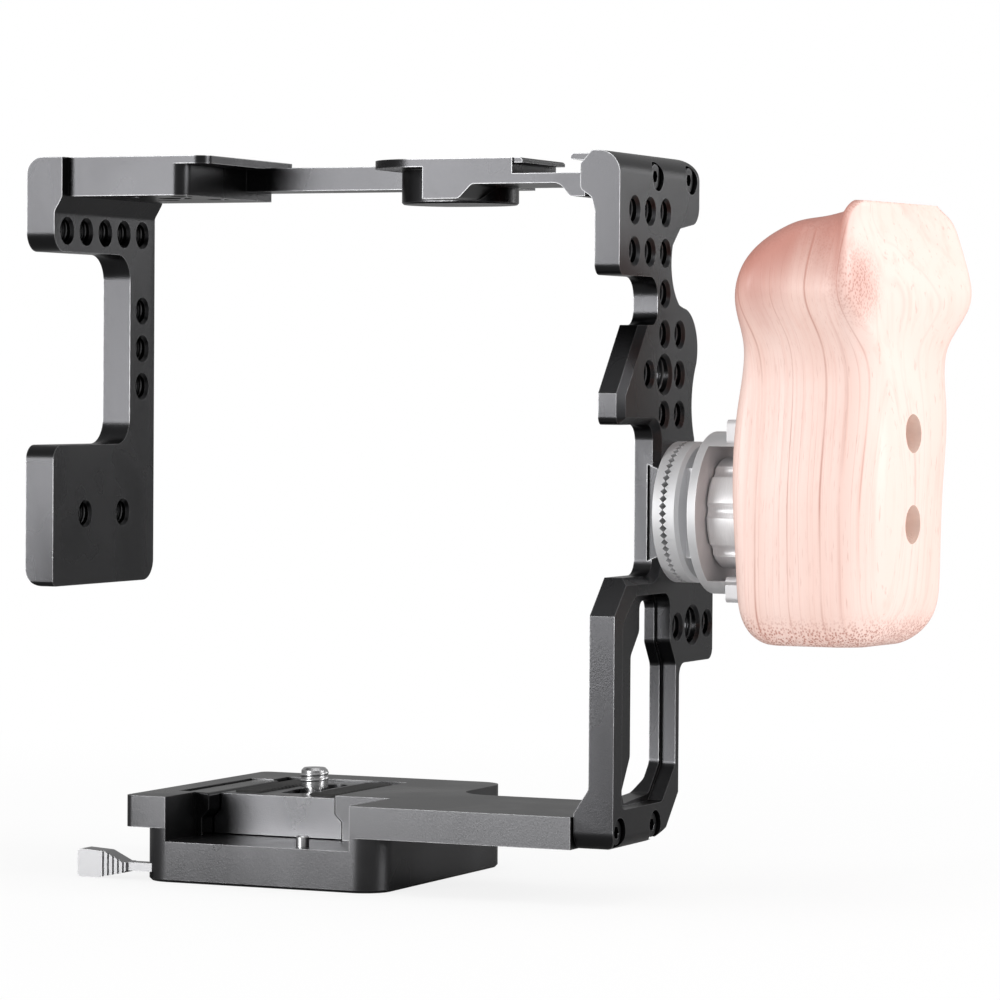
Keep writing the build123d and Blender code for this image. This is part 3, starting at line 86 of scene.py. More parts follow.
# meshes; angles are in degrees
EDGE_ANGLE = 32.0                   # sharper creases are edges, softer ones belong to a curve
FLAT_ANGLE = 0.4                    # faces that differ by less make one flat face
THREAD_DEPTH = 0.2                  # of every thread, as a share of its pitch
THREAD_SINK = 0.02 * MM             # how far a thread's root reaches into its wall
SIDE_DEPTH, LEFT_DEPTH = 4.5 * MM, 5.9 * MM     # of the threads through the side and left plates
BASE_DEPTH, TOP_DEPTH = 6.0 * MM, 3.9 * MM      # of the upright threads in the base and the top plate
GRIP_EDGE = 2.2 * MM                # longer edges of the grip's mesh are halved before it is carved
OUTER_BAND = 11.4 * MM              # width of the grip's outer side, which isn't carved

# growth layers of the wood, whose lines run up the grip
LAYER_LEAN, LAYER_WANDER = 0.32, 0.004          # turn from X towards Y, and drift in metres
LAYER_SCALE = 95.0                              # changes of tone per metre
COARSE_RINGS, FINE_RINGS = (125.0, 0.0003), (520.0, 0.00015)    # lines per metre, width of a line
STREAKS = (1500.0, 16.0, 3.0, 0.6)              # scales across and along the grain, detail, roughness
PORES = (4600.0, 200.0, 2.0, 0.5)
BREAKS = (260.0, 30.0, 2.0, 0.6)                # gaps in the ring lines

# places on the grip, in metres
BURR, BURR_RADIUS = (0.1395, -0.019, 0.1365), 0.012         # patch of end grain
BORES, BORE_RADIUS = ((0, 0.0044, 0.1038), (0, 0.0044, 0.0838)), 0.00432    # screw bores along X
FOOT_LOW, FOOT_HIGH = 0.062, 0.075              # where the foot's end grain fades out
RIDGE_INNER, RIDGE_OUTER = 0.1335, 0.1365       # between the dark shoulder and the outer side
BORDER_LOW, BORDER_HIGH = 0.064, 0.086          # of the dark shoulder, at X = 0
BORDER_SLOPE = 0.5                              # rise of that border towards the outside

# stage
FLOOR_RADIUS = 0.6
CAMERA_PLACE = Vector((0.459763, -0.926457, 0.11476))
CAMERA_ANGLES = (24.151, -1.532, 0.405)     # turn, tilt and roll in degrees
CAMERA_LENS, CAMERA_SENSOR = 160.418, 36.0


# ---- node helpers ---------------------------------------------------------------------------
def node(tree, kind, settings=None, **inputs):
    """Adds a node; inputs are socket names with _ for spaces, given a value or an output."""
    made = tree.nodes.new(kind)
    for key, value in (settings or {}).items():
        setattr(made, key, value)
    for key, value in inputs.items():
        name = key.replace("_", " ")
        socket = made.inputs[int(name[1:])] if name[1:].isdigit() else made.inputs[name]
        if isinstance(value, bpy.types.NodeSocket):
            tree.links.new(value, socket)
        else:
            socket.default_value = value
    return made


def maths(tree, operation, a, b=0.0, c=0.0):
    return node(tree, "ShaderNodeMath", {"operation": operation}, i0=a, i1=b, i2=c).outputs[0]


def ranged(tree, value, low, high, to_low=0.0, to_high=1.0, smooth=False):
    """Maps low to to_low and high to to_high, and keeps to those ends."""
    settings = {"interpolation_type": "SMOOTHSTEP" if smooth else "LINEAR"}
    made = node(tree, "ShaderNodeMapRange", settings, Value=value)
    for name, number in (("From Min", low), ("From Max", high), ("To Min", to_low), ("To Max", to_high)):
        made.inputs[name].default_value = number
    return made.outputs[0]


def blended(tree, factor, a, b):
    """Mixes two colours; a and b are outputs or colours."""
    made = tree.nodes.new("ShaderNodeMix")
    made.data_type = "RGBA"
    for index, value in ((0, factor), (6, a), (7, b)):
        if isinstance(value, bpy.types.NodeSocket):
            tree.links.new(value, made.inputs[index])
        elif index:
            made.inputs[index].default_value = (*value[:3], 1.0)
        else:
            made.inputs[index].default_value = value
    return made.outputs[2]


def placed(tree, scale=(1, 1, 1)):
    """Object coordinates, stretched by a Mapping node."""
    coordinates = node(tree, "ShaderNodeTexCoord").outputs["Object"]
    return node(tree, "ShaderNodeMapping", None, Vector=coordinates, Scale=scale).outputs[0]


def apart(tree, place, point):
    """Distance between an output's place and a fixed point."""
    return node(tree, "ShaderNodeVectorMath", {"operation": "DISTANCE"}, i0=place, i1=point).outputs["Value"]


def effect(name, inputs, outputs, build):
    """A shader node group that several finishes share; build wires it and returns its outputs."""
    found = bpy.data.node_groups.get(name)
    if found:
        return found
    tree = bpy.data.node_groups.new(name, "ShaderNodeTree")
    for label, default in inputs:
        socket = tree.interface.new_socket(name=label, in_out="INPUT", socket_type="NodeSocketFloat")
        socket.default_value = default
    for label in outputs:
        tree.interface.new_socket(name=label, in_out="OUTPUT", socket_type="NodeSocketFloat")
    given = tree.nodes.new("NodeGroupInput")
    result = tree.nodes.new("NodeGroupOutput")
    for label, output in zip(outputs, build(tree, given.outputs)):
        tree.links.new(output, result.inputs[label])
    return tree


def use(tree, group, **inputs):
    """Places a group with its values set, and returns its outputs."""
    made = tree.nodes.new("ShaderNodeGroup")
    made.node_tree = group
    for key, value in inputs.items():
        made.inputs[key.replace("_", " ")].default_value = value
    return made.outputs


# ---- effects ----------------------------------------------------------------------------------
def edge_light():
    """Mask along edges for a painted highlight, the bright line that light draws along eased edges."""
    def build(tree, given):
        rounded = node(tree, "ShaderNodeBevel", {"samples": 6}, Radius=given["Width"]).outputs[0]
        normal = node(tree, "ShaderNodeNewGeometry").outputs["Normal"]
        along = node(tree, "ShaderNodeVectorMath", {"operation": "DOT_PRODUCT"}, i0=rounded, i1=normal)
        away = maths(tree, "SUBTRACT", 1.0, along.outputs["Value"])
        # noise breaks the painted highlight into patches
        glinting = node(tree, "ShaderNodeTexNoise", None, Vector=placed(tree), Scale=350.0, Detail=3.0)
        share = ranged(tree, glinting.outputs[0], 0.3, 0.6, 0.65, 1.0)
        return [maths(tree, "MULTIPLY", ranged(tree, away, 0.012, 0.16), share)]
    return effect("Edge light", [("Width", 0.0004)], ["Mask"], build)


def blasted():
    """Fine grain of a bead-blasted or cast surface, and the broad marks of handling."""
    def build(tree, given):
        scale = maths(tree, "DIVIDE", 1.0, given["Grain"])
        fine = node(tree, "ShaderNodeTexNoise", None, Vector=placed(tree), Scale=scale, Detail=4.0,
                    Roughness=0.65)
        broad = node(tree, "ShaderNodeTexNoise", None, Vector=placed(tree, (1, 1, 0.6)), Scale=38.0,
                     Detail=3.0, Distortion=0.6)
        return [fine.outputs[0], ranged(tree, broad.outputs[0], 0.32, 0.68, smooth=True)]
    return effect("Blasted surface", [("Grain", 0.0003)], ["Grain", "Handling"], build)


def drawn():
    """Long fine scratches along one axis, from brushing or turning."""
    def build(tree, given):
        stretch = node(tree, "ShaderNodeCombineXYZ", None, X=given["Along X"], Y=given["Along Y"],
                       Z=given["Along Z"])
        coordinates = node(tree, "ShaderNodeTexCoord").outputs["Object"]
        scaled = node(tree, "ShaderNodeVectorMath", {"operation": "MULTIPLY"}, i0=coordinates,
                      i1=stretch.outputs[0]).outputs[0]
        lines = node(tree, "ShaderNodeTexNoise", None, Vector=scaled, Scale=1.0, Detail=5.0, Roughness=0.7)
        return [lines.outputs[0]]
    scales = [("Along X", 400.0), ("Along Y", 4000.0), ("Along Z", 4000.0)]
    return effect("Drawn lines", scales, ["Lines"], build)


# ---- finishes -----------------------------------------------------------------------------------
def finish_base(name):
    """A material with its Principled shader."""
    made = bpy.data.materials.new(name)
    made.use_nodes = True
    tree = made.node_tree
    return made, tree, tree.nodes["Principled BSDF"]


def bumped(tree, shader, height, depth):
    """Relief of a depth in metres."""
    bump = node(tree, "ShaderNodeBump", None, Height=height, Distance=depth, Strength=1.0)
    tree.links.new(bump.outputs[0], shader.inputs["Normal"])


def metal(name, colour, edge, roughness, grain=0.00035, edge_width=0.0004, lines=None, metallic=1.0):
    """Metal with a painted highlight along its edges, fine grain or drawn lines, and roughness that varies
    with handling.
    """
    found = bpy.data.materials.get(name)
    if found:
        return found
    made, tree, shader = finish_base(name)
    surface = use(tree, blasted(), Grain=grain)
    rim = use(tree, edge_light(), Width=edge_width)["Mask"]
    dark, light = [tuple(min(1.0, c * share) for c in colour) for share in (0.9, 1.12)]
    body = blended(tree, surface["Handling"], dark, light)
    rough = ranged(tree, surface["Handling"], 0.0, 1.0, roughness - 0.035, roughness + 0.045)
    height = surface["Grain"]
    if lines:
        streaks = use(tree, drawn(), Along_X=lines[0], Along_Y=lines[1], Along_Z=lines[2])["Lines"]
        shaded = tuple(c * 0.7 for c in colour)
        body = blended(tree, ranged(tree, streaks, 0.35, 0.65, 0.0, 0.35), body, shaded)
        rough = maths(tree, "ADD", rough, ranged(tree, streaks, 0.3, 0.7, -0.04, 0.06))
        height = streaks
    # the edge colour is a painted highlight along the edges
    tree.links.new(blended(tree, rim, body, edge), shader.inputs["Base Color"])
    tree.links.new(rough, shader.inputs["Roughness"])
    shader.inputs["Metallic"].default_value = metallic
    bumped(tree, shader, height, 0.00002)
    return made


def black_anodised():
    colours = bpy.context.scene.cage_finishes
    return metal("Black anodised aluminium", colours.anodised, colours.anodised_edge_highlight, 0.27)


def base_anodised():
    """The base's finish, a little greyer than that of the plates above it."""
    colours = bpy.context.scene.cage_finishes
    return metal("Blasted black aluminium", colours.base, colours.anodised_edge_highlight, 0.3)


def grey_anodised():
    return metal("Grey anodised aluminium", (0.12, 0.12, 0.125), (0.5, 0.5, 0.5), 0.3)


def silver():
    colours = bpy.context.scene.cage_finishes
    return metal("Silver anodised aluminium", colours.silver, (0.9, 0.9, 0.91), 0.58, grain=0.00025,
                 edge_width=0.0003, metallic=0.5)


def turned_silver():
    colours = bpy.context.scene.cage_finishes
    return metal("Turned silver aluminium", colours.knob, (0.92, 0.92, 0.93), 0.4,
                 lines=(9000.0, 500.0, 500.0), edge_width=0.0003, metallic=0.4)


def satin_steel():
    colours = bpy.context.scene.cage_finishes
    return metal("Satin steel", colours.lever, (0.65, 0.65, 0.66), 0.5, grain=0.0002, edge_width=0.00015)


def brushed_steel():
    return metal("Brushed steel", (0.66, 0.66, 0.67), (0.9, 0.9, 0.9), 0.28, lines=(500.0, 7000.0, 7000.0),
                 edge_width=0.0002)


def black_steel():
    return metal("Black oxide steel", (0.045, 0.045, 0.047), (0.35, 0.35, 0.36), 0.3, grain=0.0002,
                 edge_width=0.0002)


def rubber():
    found = bpy.data.materials.get("Ribbed rubber")
    if found:
        return found
    made, tree, shader = finish_base("Ribbed rubber")
    surface = use(tree, blasted(), Grain=0.0002)
    ribs = node(tree, "ShaderNodeTexWave", {"bands_direction": "Y"}, Vector=placed(tree), Scale=170.0)
    tree.links.new(blended(tree, surface["Handling"], (0.018, 0.018, 0.018), (0.034, 0.033, 0.032)),
                   shader.inputs["Base Color"])
    tree.links.new(ranged(tree, surface["Grain"], 0.3, 0.7, 0.62, 0.8), shader.inputs["Roughness"])
    height = maths(tree, "ADD", maths(tree, "MULTIPLY", surface["Grain"], 0.15), ribs.outputs["Fac"])
    bumped(tree, shader, height, 0.0003)
    return made


def layer_noise(tree, layer, scale):
    """Noise that changes only from one growth layer to the next."""
    return node(tree, "ShaderNodeTexNoise", {"noise_dimensions": "1D"}, W=layer, Scale=scale,
                Detail=1.0).outputs[0]


def grain_noise(tree, grain, across, length, detail, roughness):
    """Noise drawn out along the grain; across and length are its scales per metre."""
    drawn_out = node(tree, "ShaderNodeMapping", None, Vector=grain, Scale=(across, across, length)).outputs[0]
    return node(tree, "ShaderNodeTexNoise", None, Vector=drawn_out, Scale=1.0, Detail=detail,
                Roughness=roughness).outputs[0]


def ring_lines(tree, layer, per_metre, width):
    """Thin lines where the surface cuts growth rings of uneven spacing."""
    uneven = maths(tree, "MULTIPLY", layer_noise(tree, layer, per_metre * 0.6), 1.6)
    count = maths(tree, "MULTIPLY_ADD", layer, per_metre, uneven)
    off_line = maths(tree, "ABSOLUTE", maths(tree, "SUBTRACT", maths(tree, "FRACT", count), 0.5))
    return ranged(tree, off_line, 0.0, width * per_metre, 1.0, 0.0)


def wood():
    """Pale pink hardwood, its grain upright: thin growth lines, short pores and speckled end grain."""
    found = bpy.data.materials.get("Oiled hardwood")
    if found:
        return found
    colours = bpy.context.scene.cage_finishes
    made, tree, shader = finish_base("Oiled hardwood")
    place = node(tree, "ShaderNodeSeparateXYZ", None, Vector=placed(tree)).outputs
    normal = node(tree, "ShaderNodeNewGeometry").outputs["Normal"]
    facing = node(tree, "ShaderNodeSeparateXYZ", None, Vector=normal).outputs

    # growth layers, and the streaks and pores that run along them
    bent = node(tree, "ShaderNodeTexNoise", None, Vector=placed(tree, (1, 1, 0.3)), Scale=24.0, Detail=2.0)
    wander = ranged(tree, bent.outputs[0], 0.0, 1.0, -LAYER_WANDER, LAYER_WANDER)
    layer = maths(tree, "ADD", place["X"], wander)
    layer = maths(tree, "SUBTRACT", layer, maths(tree, "MULTIPLY", place["Y"], LAYER_LEAN))
    depth = maths(tree, "MULTIPLY", place["Y"], 0.15)
    grain = node(tree, "ShaderNodeCombineXYZ", None, X=layer, Y=depth, Z=place["Z"]).outputs[0]
    growth = layer_noise(tree, layer, LAYER_SCALE)
    streaks = grain_noise(tree, grain, *STREAKS)
    pores = grain_noise(tree, grain, *PORES)
    paler = ranged(tree, growth, 0.35, 0.68, 0.2, 0.65, smooth=True)
    body = blended(tree, paler, colours.wood, colours.wood_light)
    body = blended(tree, ranged(tree, streaks, 0.5, 0.72, 0.0, 0.45), body, colours.wood_dark)

    # ring lines come and go along the grain, and are fainter on the outer side
    fine_lines = maths(tree, "MULTIPLY", ring_lines(tree, layer, *FINE_RINGS), 0.4)
    lines = maths(tree, "MAXIMUM", ring_lines(tree, layer, *COARSE_RINGS), fine_lines)
    broken = ranged(tree, grain_noise(tree, grain, *BREAKS), 0.38, 0.6, 0.2, 1.0)
    lines = maths(tree, "MULTIPLY", lines, broken)
    fainter = ranged(tree, facing["X"], 0.35, 0.85, 1.0, 0.4, smooth=True)
    lines = maths(tree, "MULTIPLY", lines, fainter)
    body = blended(tree, lines, body, colours.wood_pore)

    # end grain shows as dots: at the grip's foot, on its shoulder, and where its bulge cuts a burr
    foot = maths(tree, "MULTIPLY", ranged(tree, facing["Z"], -0.15, -0.6, smooth=True),
                 ranged(tree, place["Z"], FOOT_HIGH, FOOT_LOW, smooth=True))
    burr = ranged(tree, apart(tree, placed(tree), BURR), 0.001, BURR_RADIUS, 1.0, 0.0, smooth=True)
    level = maths(tree, "MULTIPLY", ranged(tree, facing["Z"], 0.2, 0.6, smooth=True), 0.7)
    ends = maths(tree, "MAXIMUM", maths(tree, "MAXIMUM", foot, burr), level)
    cells = node(tree, "ShaderNodeTexVoronoi", None, Vector=placed(tree, (1, 1, 0.7)), Scale=2000.0)
    dots = ranged(tree, cells.outputs["Distance"], 0.32, 0.52, 1.0, 0.0)
    dots = maths(tree, "MULTIPLY", dots, ends)
    specks = maths(tree, "MAXIMUM", ranged(tree, pores, 0.64, 0.72, 0.0, 0.35), dots)
    body = blended(tree, specks, body, colours.wood_pore)
    # upward faces and the burr take the darker end-grain colour; on the upward faces it is partly painted
    # shade
    end_grain_and_shade = maths(tree, "MAXIMUM", burr, ranged(tree, facing["Z"], 0.45, 0.95, smooth=True))
    body = blended(tree, maths(tree, "MULTIPLY", end_grain_and_shade, 0.5), body, colours.wood_end_grain_and_shade)

    # the inner shoulder is darker above a slanted border, which follows the growth layers: partly darker wood
    # and partly painted shade
    slant = maths(tree, "SUBTRACT", place["Z"], maths(tree, "MULTIPLY", place["X"], BORDER_SLOPE))
    slant = maths(tree, "ADD", slant, ranged(tree, growth, 0.3, 0.7, -LAYER_WANDER, LAYER_WANDER))
    shoulder = ranged(tree, slant, BORDER_LOW, BORDER_HIGH, 0.0, 0.95, smooth=True)
    inner = ranged(tree, place["X"], RIDGE_INNER, RIDGE_OUTER, 1.0, 0.0, smooth=True)
    body = blended(tree, maths(tree, "MULTIPLY", shoulder, inner), body, colours.wood_end_grain_and_shade)

    # the walls of the screw bores are paler than the oiled outside: bare wood, and painted light that lifts
    # the shade inside them
    section = node(tree, "ShaderNodeCombineXYZ", None, Y=place["Y"], Z=place["Z"]).outputs[0]
    for axis in BORES:
        bore_light = ranged(tree, apart(tree, section, axis), BORE_RADIUS, BORE_RADIUS + 0.05 * MM, 1.0, 0.0)
        body = blended(tree, bore_light, body, colours.wood_bore_light)

    tree.links.new(body, shader.inputs["Base Color"])
    tree.links.new(ranged(tree, streaks, 0.3, 0.7, 0.4, 0.55), shader.inputs["Roughness"])
    shader.inputs["Coat Weight"].default_value = 0.1
    shader.inputs["Coat Roughness"].default_value = 0.35
    cut = maths(tree, "MAXIMUM", specks, lines)
    bumped(tree, shader, maths(tree, "SUBTRACT", maths(tree, "MULTIPLY", streaks, 0.25), cut), 0.00005)
    return made


# ---- shaping helpers ---------------------------------------------------------------------------
def put(name, mesh, material, body, slot, *nodes):
    """Links a mesh as a piece that rides on a body and stands for its nodes; slot is not used."""
    piece = bpy.data.objects.new(name, mesh)
    bpy.context.scene.collection.objects.link(piece)
    mesh.materials.append(material)
    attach(piece, body)
    if nodes:
        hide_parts(*nodes)
    return piece


def merged_copy(node_name):
    """A node's mesh with its loose triangles joined."""
    made = bmesh.new()
    made.from_mesh(frame["nodes"][node_name].data)
    bmesh.ops.remove_doubles(made, verts=made.verts, dist=2e-6)
    bmesh.ops.dissolve_degenerate(made, dist=1e-6, edges=made.edges)
    return made


def to_mesh(bm, name, sharp=EDGE_ANGLE):
    """A mesh from a bmesh, smooth apart from its edges."""
    mesh = bpy.data.meshes.new(name)
    bm.to_mesh(mesh)
    bm.free()
    for attribute in [a for a in mesh.attributes if a.name == "custom_normal"]:
        mesh.attributes.remove(attribute)
    mesh.shade_smooth()
    mesh.set_sharp_from_angle(angle=math.radians(sharp))
    return mesh


def finished(node_name, material, slot, ease, segments=2, sharp=EDGE_ANGLE):
    """Copies a node, eases its sharp edges by a width and gives it its material."""
    bm = merged_copy(node_name)
    bmesh.ops.dissolve_limit(bm, angle_limit=math.radians(FLAT_ANGLE), verts=bm.verts, edges=bm.edges)
    mesh = to_mesh(bm, node_name + "_finished", sharp)
    body = frame["nodes"][node_name]["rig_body"]
    piece = put(node_name + "_finished", mesh, material, body, slot, node_name)
    bevel = piece.modifiers.new("Eased edges", "BEVEL")
    bevel.width, bevel.segments = ease, segments
    bevel.limit_method, bevel.angle_limit = "ANGLE", math.radians(sharp)
    bevel.harden_normals = True
    bevel.use_clamp_overlap = True
    return piece


def split_off(piece, name, picks, material, body, slot):
    """Makes the faces whose centres picks() chooses a piece of their own."""
    made = bmesh.new()
    made.from_mesh(piece.data)
    rest = made.copy()
    for part, wanted in ((made, True), (rest, False)):
        other = [face for face in part.faces if picks(face.calc_center_median()) != wanted]
        bmesh.ops.delete(part, geom=other, context="FACES")
    rest.to_mesh(piece.data)
    rest.free()
    put(name, to_mesh(made, name), material, body, slot)


def helix(bm, centre, axis, profile, pitch, turns, steps=20):
    """Spins a closed profile of (along, out) points into a helix that starts at centre."""
    axis = Vector(axis).normalized()
    out = axis.orthogonal().normalized()
    corners = [bm.verts.new(centre + axis * along + out * away) for along, away in profile]
    start = bm.faces.new(corners)
    count = max(2, round(turns * steps))
    bmesh.ops.spin(bm, geom=[start, *start.edges, *corners], cent=centre, axis=axis,
                   dvec=axis * (pitch * turns / count), angle=2 * math.pi * turns, steps=count)


def thread(bm, centre, axis, radius, length, pitch, inward=True):
    """A screw thread's ridge on the wall of a bore, or on a shank."""
    side = 1 if inward else -1
    crest = radius - side * THREAD_DEPTH * pitch
    root = radius + side * THREAD_SINK
    profile = [(0.08 * pitch, root), (0.42 * pitch, crest), (0.58 * pitch, crest), (0.92 * pitch, root)]
    start = Vector(centre) - Vector(axis).normalized() * length / 2
    helix(bm, start, axis, profile, pitch, length / pitch - 1.0)


def thread_length(mount):
    """Depth of thread between the countersunk mouths of a mount's hole."""
    stated = mount["dims"].get("length_mm")
    if stated:
        return stated * MM
    axis = Vector(mount["axis"])
    if abs(axis.x) > 0.5:
        return SIDE_DEPTH if mount["pos_m"][0] > 0 else LEFT_DEPTH
    return BASE_DEPTH if axis.z < 0 else TOP_DEPTH


def tidy_normals(bm):
    bmesh.ops.recalc_face_normals(bm, faces=bm.faces)
    return bm


def smooth(value, low, high):
    """0 below low, 1 above high and an even curve between."""
    share = min(1.0, max(0.0, (value - low) / (high - low)))
    return share * share * (3 - 2 * share)


def carve(bm, top, ridge, step_drop, thumb_rest):
    """Drops the grip's inner shoulder and hollows its thumb rest, both on the inner side of a ridge."""
    for vert in bm.verts:
        x, y, z = vert.co
        inside = smooth(ridge - x, 0.0, 3.5 * MM)
        beside = smooth(x, ridge - 15 * MM, ridge - 3 * MM)
        vert.co.z -= step_drop * inside * beside * smooth(z, top - 16 * MM, top - 2 * MM)
        raised = smooth(z, top - 30 * MM, top - 6 * MM)
        beside = smooth(x, ridge - 24 * MM, ridge - 5 * MM)
        rear = smooth(-y, 2 * MM, 14 * MM)
        vert.co.y += thumb_rest * raised * inside * beside * rear


# ---- sizes and colours a user may change ---------------------------------------------------------
def colour(name, description, default):
    return bpy.props.FloatVectorProperty(name=name, description=description, default=default, subtype="COLOR",
                                         size=3, min=0.0, max=1.0)


def length(name, description, default):
    return bpy.props.FloatProperty(name=name, description=description, default=default, unit="LENGTH",
                                   subtype="DISTANCE", precision=5)


def power(name, description, default):
    return bpy.props.FloatProperty(name=name, description=description, default=default, min=0.0,
                                   unit="POWER")


def fraction(name, description, default):
    return bpy.props.FloatProperty(name=name, description=description, default=default, min=0.0, max=1.0,
                                   subtype="FACTOR")


class CageFinishes(bpy.types.PropertyGroup):
    """Colours of the metal and the wood."""
    anodised: colour("Anodised metal", "Colour of the black plates", (0.042, 0.042, 0.044))
    # painted highlight colour along the plates' edges
    anodised_edge_highlight: colour("Anodised edges", "Colour along the plates' rubbed edges", (0.22, 0.22, 0.225))
    base: colour("Base", "Colour of the base", (0.085, 0.085, 0.088))
    silver: colour("Silver metal", "Colour of the rosettes and the yoke", (0.66, 0.66, 0.67))
    knob: colour("Knob", "Colour of the clamping knob", (0.84, 0.84, 0.85))
    lever: colour("Lever", "Colour of the release lever", (0.48, 0.48, 0.49))
    wood: colour("Wood", "Main colour of the grip", (0.80, 0.56, 0.49))
    wood_light: colour("Light wood", "Palest growth lines", (0.88, 0.68, 0.62))
    wood_dark: colour("Dark wood", "Darker streaks", (0.76, 0.47, 0.40))
    # paler colour in the screw bores, partly painted light against their shade
    wood_bore_light: colour("Bare wood", "Walls of the grip's screw bores", (0.97, 0.76, 0.67))
    # end-grain colour, also used as painted shade on the grip's upward faces and inner shoulder
    wood_end_grain_and_shade: colour("Wood shoulder", "End grain at the top of the grip", (0.52, 0.22, 0.175))
    wood_pore: colour("Wood pores", "Growth lines and pores of the wood", (0.52, 0.25, 0.20))


class CageSizes(bpy.types.PropertyGroup):
    """Sizes of the fine work that the CAD leaves out."""
    plate_ease: length("Plate edges", "Width of the eased edges of the plates", 0.35 * MM)
    fitting_ease: length("Fitting edges", "Width of the eased edges of small fittings", 0.15 * MM)
    tooth_ease: length("Tooth edges", "Width of the eased edges of the rosettes' teeth", 0.05 * MM)
    quarter_pitch: length("Quarter-inch pitch", "Pitch of the quarter-inch threads", 1.27 * MM)
    large_pitch: length("Three-eighths pitch", "Pitch of the three-eighths threads", 1.5875 * MM)
    screw_radius: length("Camera screw radius", "Radius under the camera screw's thread", 3.05 * MM)
    screw_thread: length("Camera screw thread", "Length of the camera screw's thread", 3.8 * MM)
    screw_chamfer: length("Camera screw tip", "Chamfer at the camera screw's tip", 0.5 * MM)
    thumb_rest: length("Thumb rest", "Depth of the thumb rest in the grip's rear shoulder", 2.6 * MM)
    step_drop: length("Shoulder drop", "Drop of the inner shoulder below the grip's outer top", 2.2 * MM)
    spring_wire: length("Spring wire", "Radius of the stop pin's spring wire", 0.26 * MM)
    spring_turns: bpy.props.FloatProperty(name="Spring turns", description="Turns of the stop pin's spring",
                                          default=5.5, min=2.0, max=9.0)


class CageStage(bpy.types.PropertyGroup):
    """Floor, lights and world."""
    floor: colour("Floor", "Colour of the floor", (0.93, 0.93, 0.93))
    key: power("Key light", "Strength of the soft box behind the cage, on its left", 13.2)
    fill: power("Fill light", "Strength of the soft box on the handle's side", 14.5)
    back: power("Back light", "Strength of the soft box beyond the handle", 1.8)
    top: power("Top light", "Strength of the soft box overhead", 3.5)
    world: fraction("World", "Strength of the even light all round", 0.55)
    sheen: fraction("Surroundings", "Brightness of the room that metal mirrors", 0.35)
    mirrored: fraction("Mirrored floor", "Share of the floor's light that metal mirrors", 0.3)
    shadow: fraction("Shadow", "Share of the shadow that the floor keeps", 0.16)


# ---- operators ---------------------------------------------------------------------------------------
class CAGE_OT_plates(bpy.types.Operator):
    """Finish the four milled plates"""
    bl_idname = "cage.plates"
    bl_label = "Plates"

    def execute(self, context):
        ease = context.scene.cage_sizes.plate_ease
        for name in ("side_plate", "top_plate", "left_side_plate"):
            finished(name, black_anodised(), "black_anodised", ease)
        finished("base_plate", base_anodised(), "black_anodised", ease)
        return {"FINISHED"}


class CAGE_OT_threads(bpy.types.Operator):
    """Cut a thread in every accessory hole of the plates"""
    bl_idname = "cage.threads"
    bl_label = "Accessory threads"

    def execute(self, context):
        sizes = context.scene.cage_sizes
        bm = bmesh.new()
        for mount in frame["record"]["mounts"]:
            if mount["kind"] not in ("threaded_hole", "bolt_pattern"):
                continue
            dims, centre, axis = mount["dims"], Vector(mount["pos_m"]), Vector(mount["axis"])
            radius = dims.get("r_mm", dims.get("hole_r_mm")) * MM
            pitch = sizes.large_pitch if radius > 3 * MM else sizes.quarter_pitch
            across = [a for a in (EAST, NORTH, UP) if abs(a.dot(axis)) < 0.5]
            steps = [dims.get("spacing_x_mm", 0) * MM / 2, dims.get("spacing_y_mm", 0) * MM / 2]
            offsets = {(i * steps[0], j * steps[1]) for i in (-1, 1) for j in (-1, 1)}
            deep = thread_length(mount)
            for i, j in sorted(offsets):
                place = centre + across[0] * i + across[1] * j
                if mount["name"] == "tripod_thread":
                    place = place - axis * deep / 2
                thread(bm, place, axis, radius, deep, pitch)
        if not bm.faces:
            raise RuntimeError("the record has no threaded mounts")
        mesh = to_mesh(tidy_normals(bm), "accessory_threads", 40.0)
        put("accessory_threads", mesh, black_anodised(), "frame", "black_anodised")
        return {"FINISHED"}


class CAGE_OT_plate_screws(bpy.types.Operator):
    """Finish the socket screws that join the plates"""
    bl_idname = "cage.plate_screws"
    bl_label = "Plate screws"

    def execute(self, context):
        for name in ("top_screws", "bottom_screws", "left_screws", "rosette_screws"):
            finished(name, black_steel(), "black_steel", context.scene.cage_sizes.fitting_ease)
        return {"FINISHED"}


class CAGE_OT_quick_release(bpy.types.Operator):
    """Finish the quick-release plate with its pads and screw, and the jaw"""
    bl_idname = "cage.quick_release"
    bl_label = "Quick-release plate"

    def execute(self, context):
        sizes = context.scene.cage_sizes
        finished("quick_release_plate", grey_anodised(), "grey_anodised", sizes.plate_ease)
        finished("clamp_jaw", black_anodised(), "black_anodised", sizes.plate_ease)
        finished("rubber_pads", rubber(), "rubber", sizes.fitting_ease)
        finished("camera_screw", brushed_steel(), "steel", sizes.fitting_ease)
        low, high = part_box("camera_screw")
        centre = (low + high) / 2
        middle = high.z - sizes.screw_chamfer - sizes.screw_thread / 2
        bm = bmesh.new()
        thread(bm, (centre.x, centre.y, middle), UP, sizes.screw_radius, sizes.screw_thread,
               sizes.quarter_pitch, inward=False)
        mesh = to_mesh(tidy_normals(bm), "camera_screw_thread", 40.0)
        put("camera_screw_thread", mesh, brushed_steel(), "plate", "steel")
        return {"FINISHED"}


class CAGE_OT_lever(bpy.types.Operator):
    """Finish the release lever and its pin"""
    bl_idname = "cage.lever"
    bl_label = "Release lever"

    def execute(self, context):
        ease = context.scene.cage_sizes.fitting_ease
        finished("release_lever", satin_steel(), "steel", ease)
        finished("lever_pin", brushed_steel(), "steel", ease)
        return {"FINISHED"}


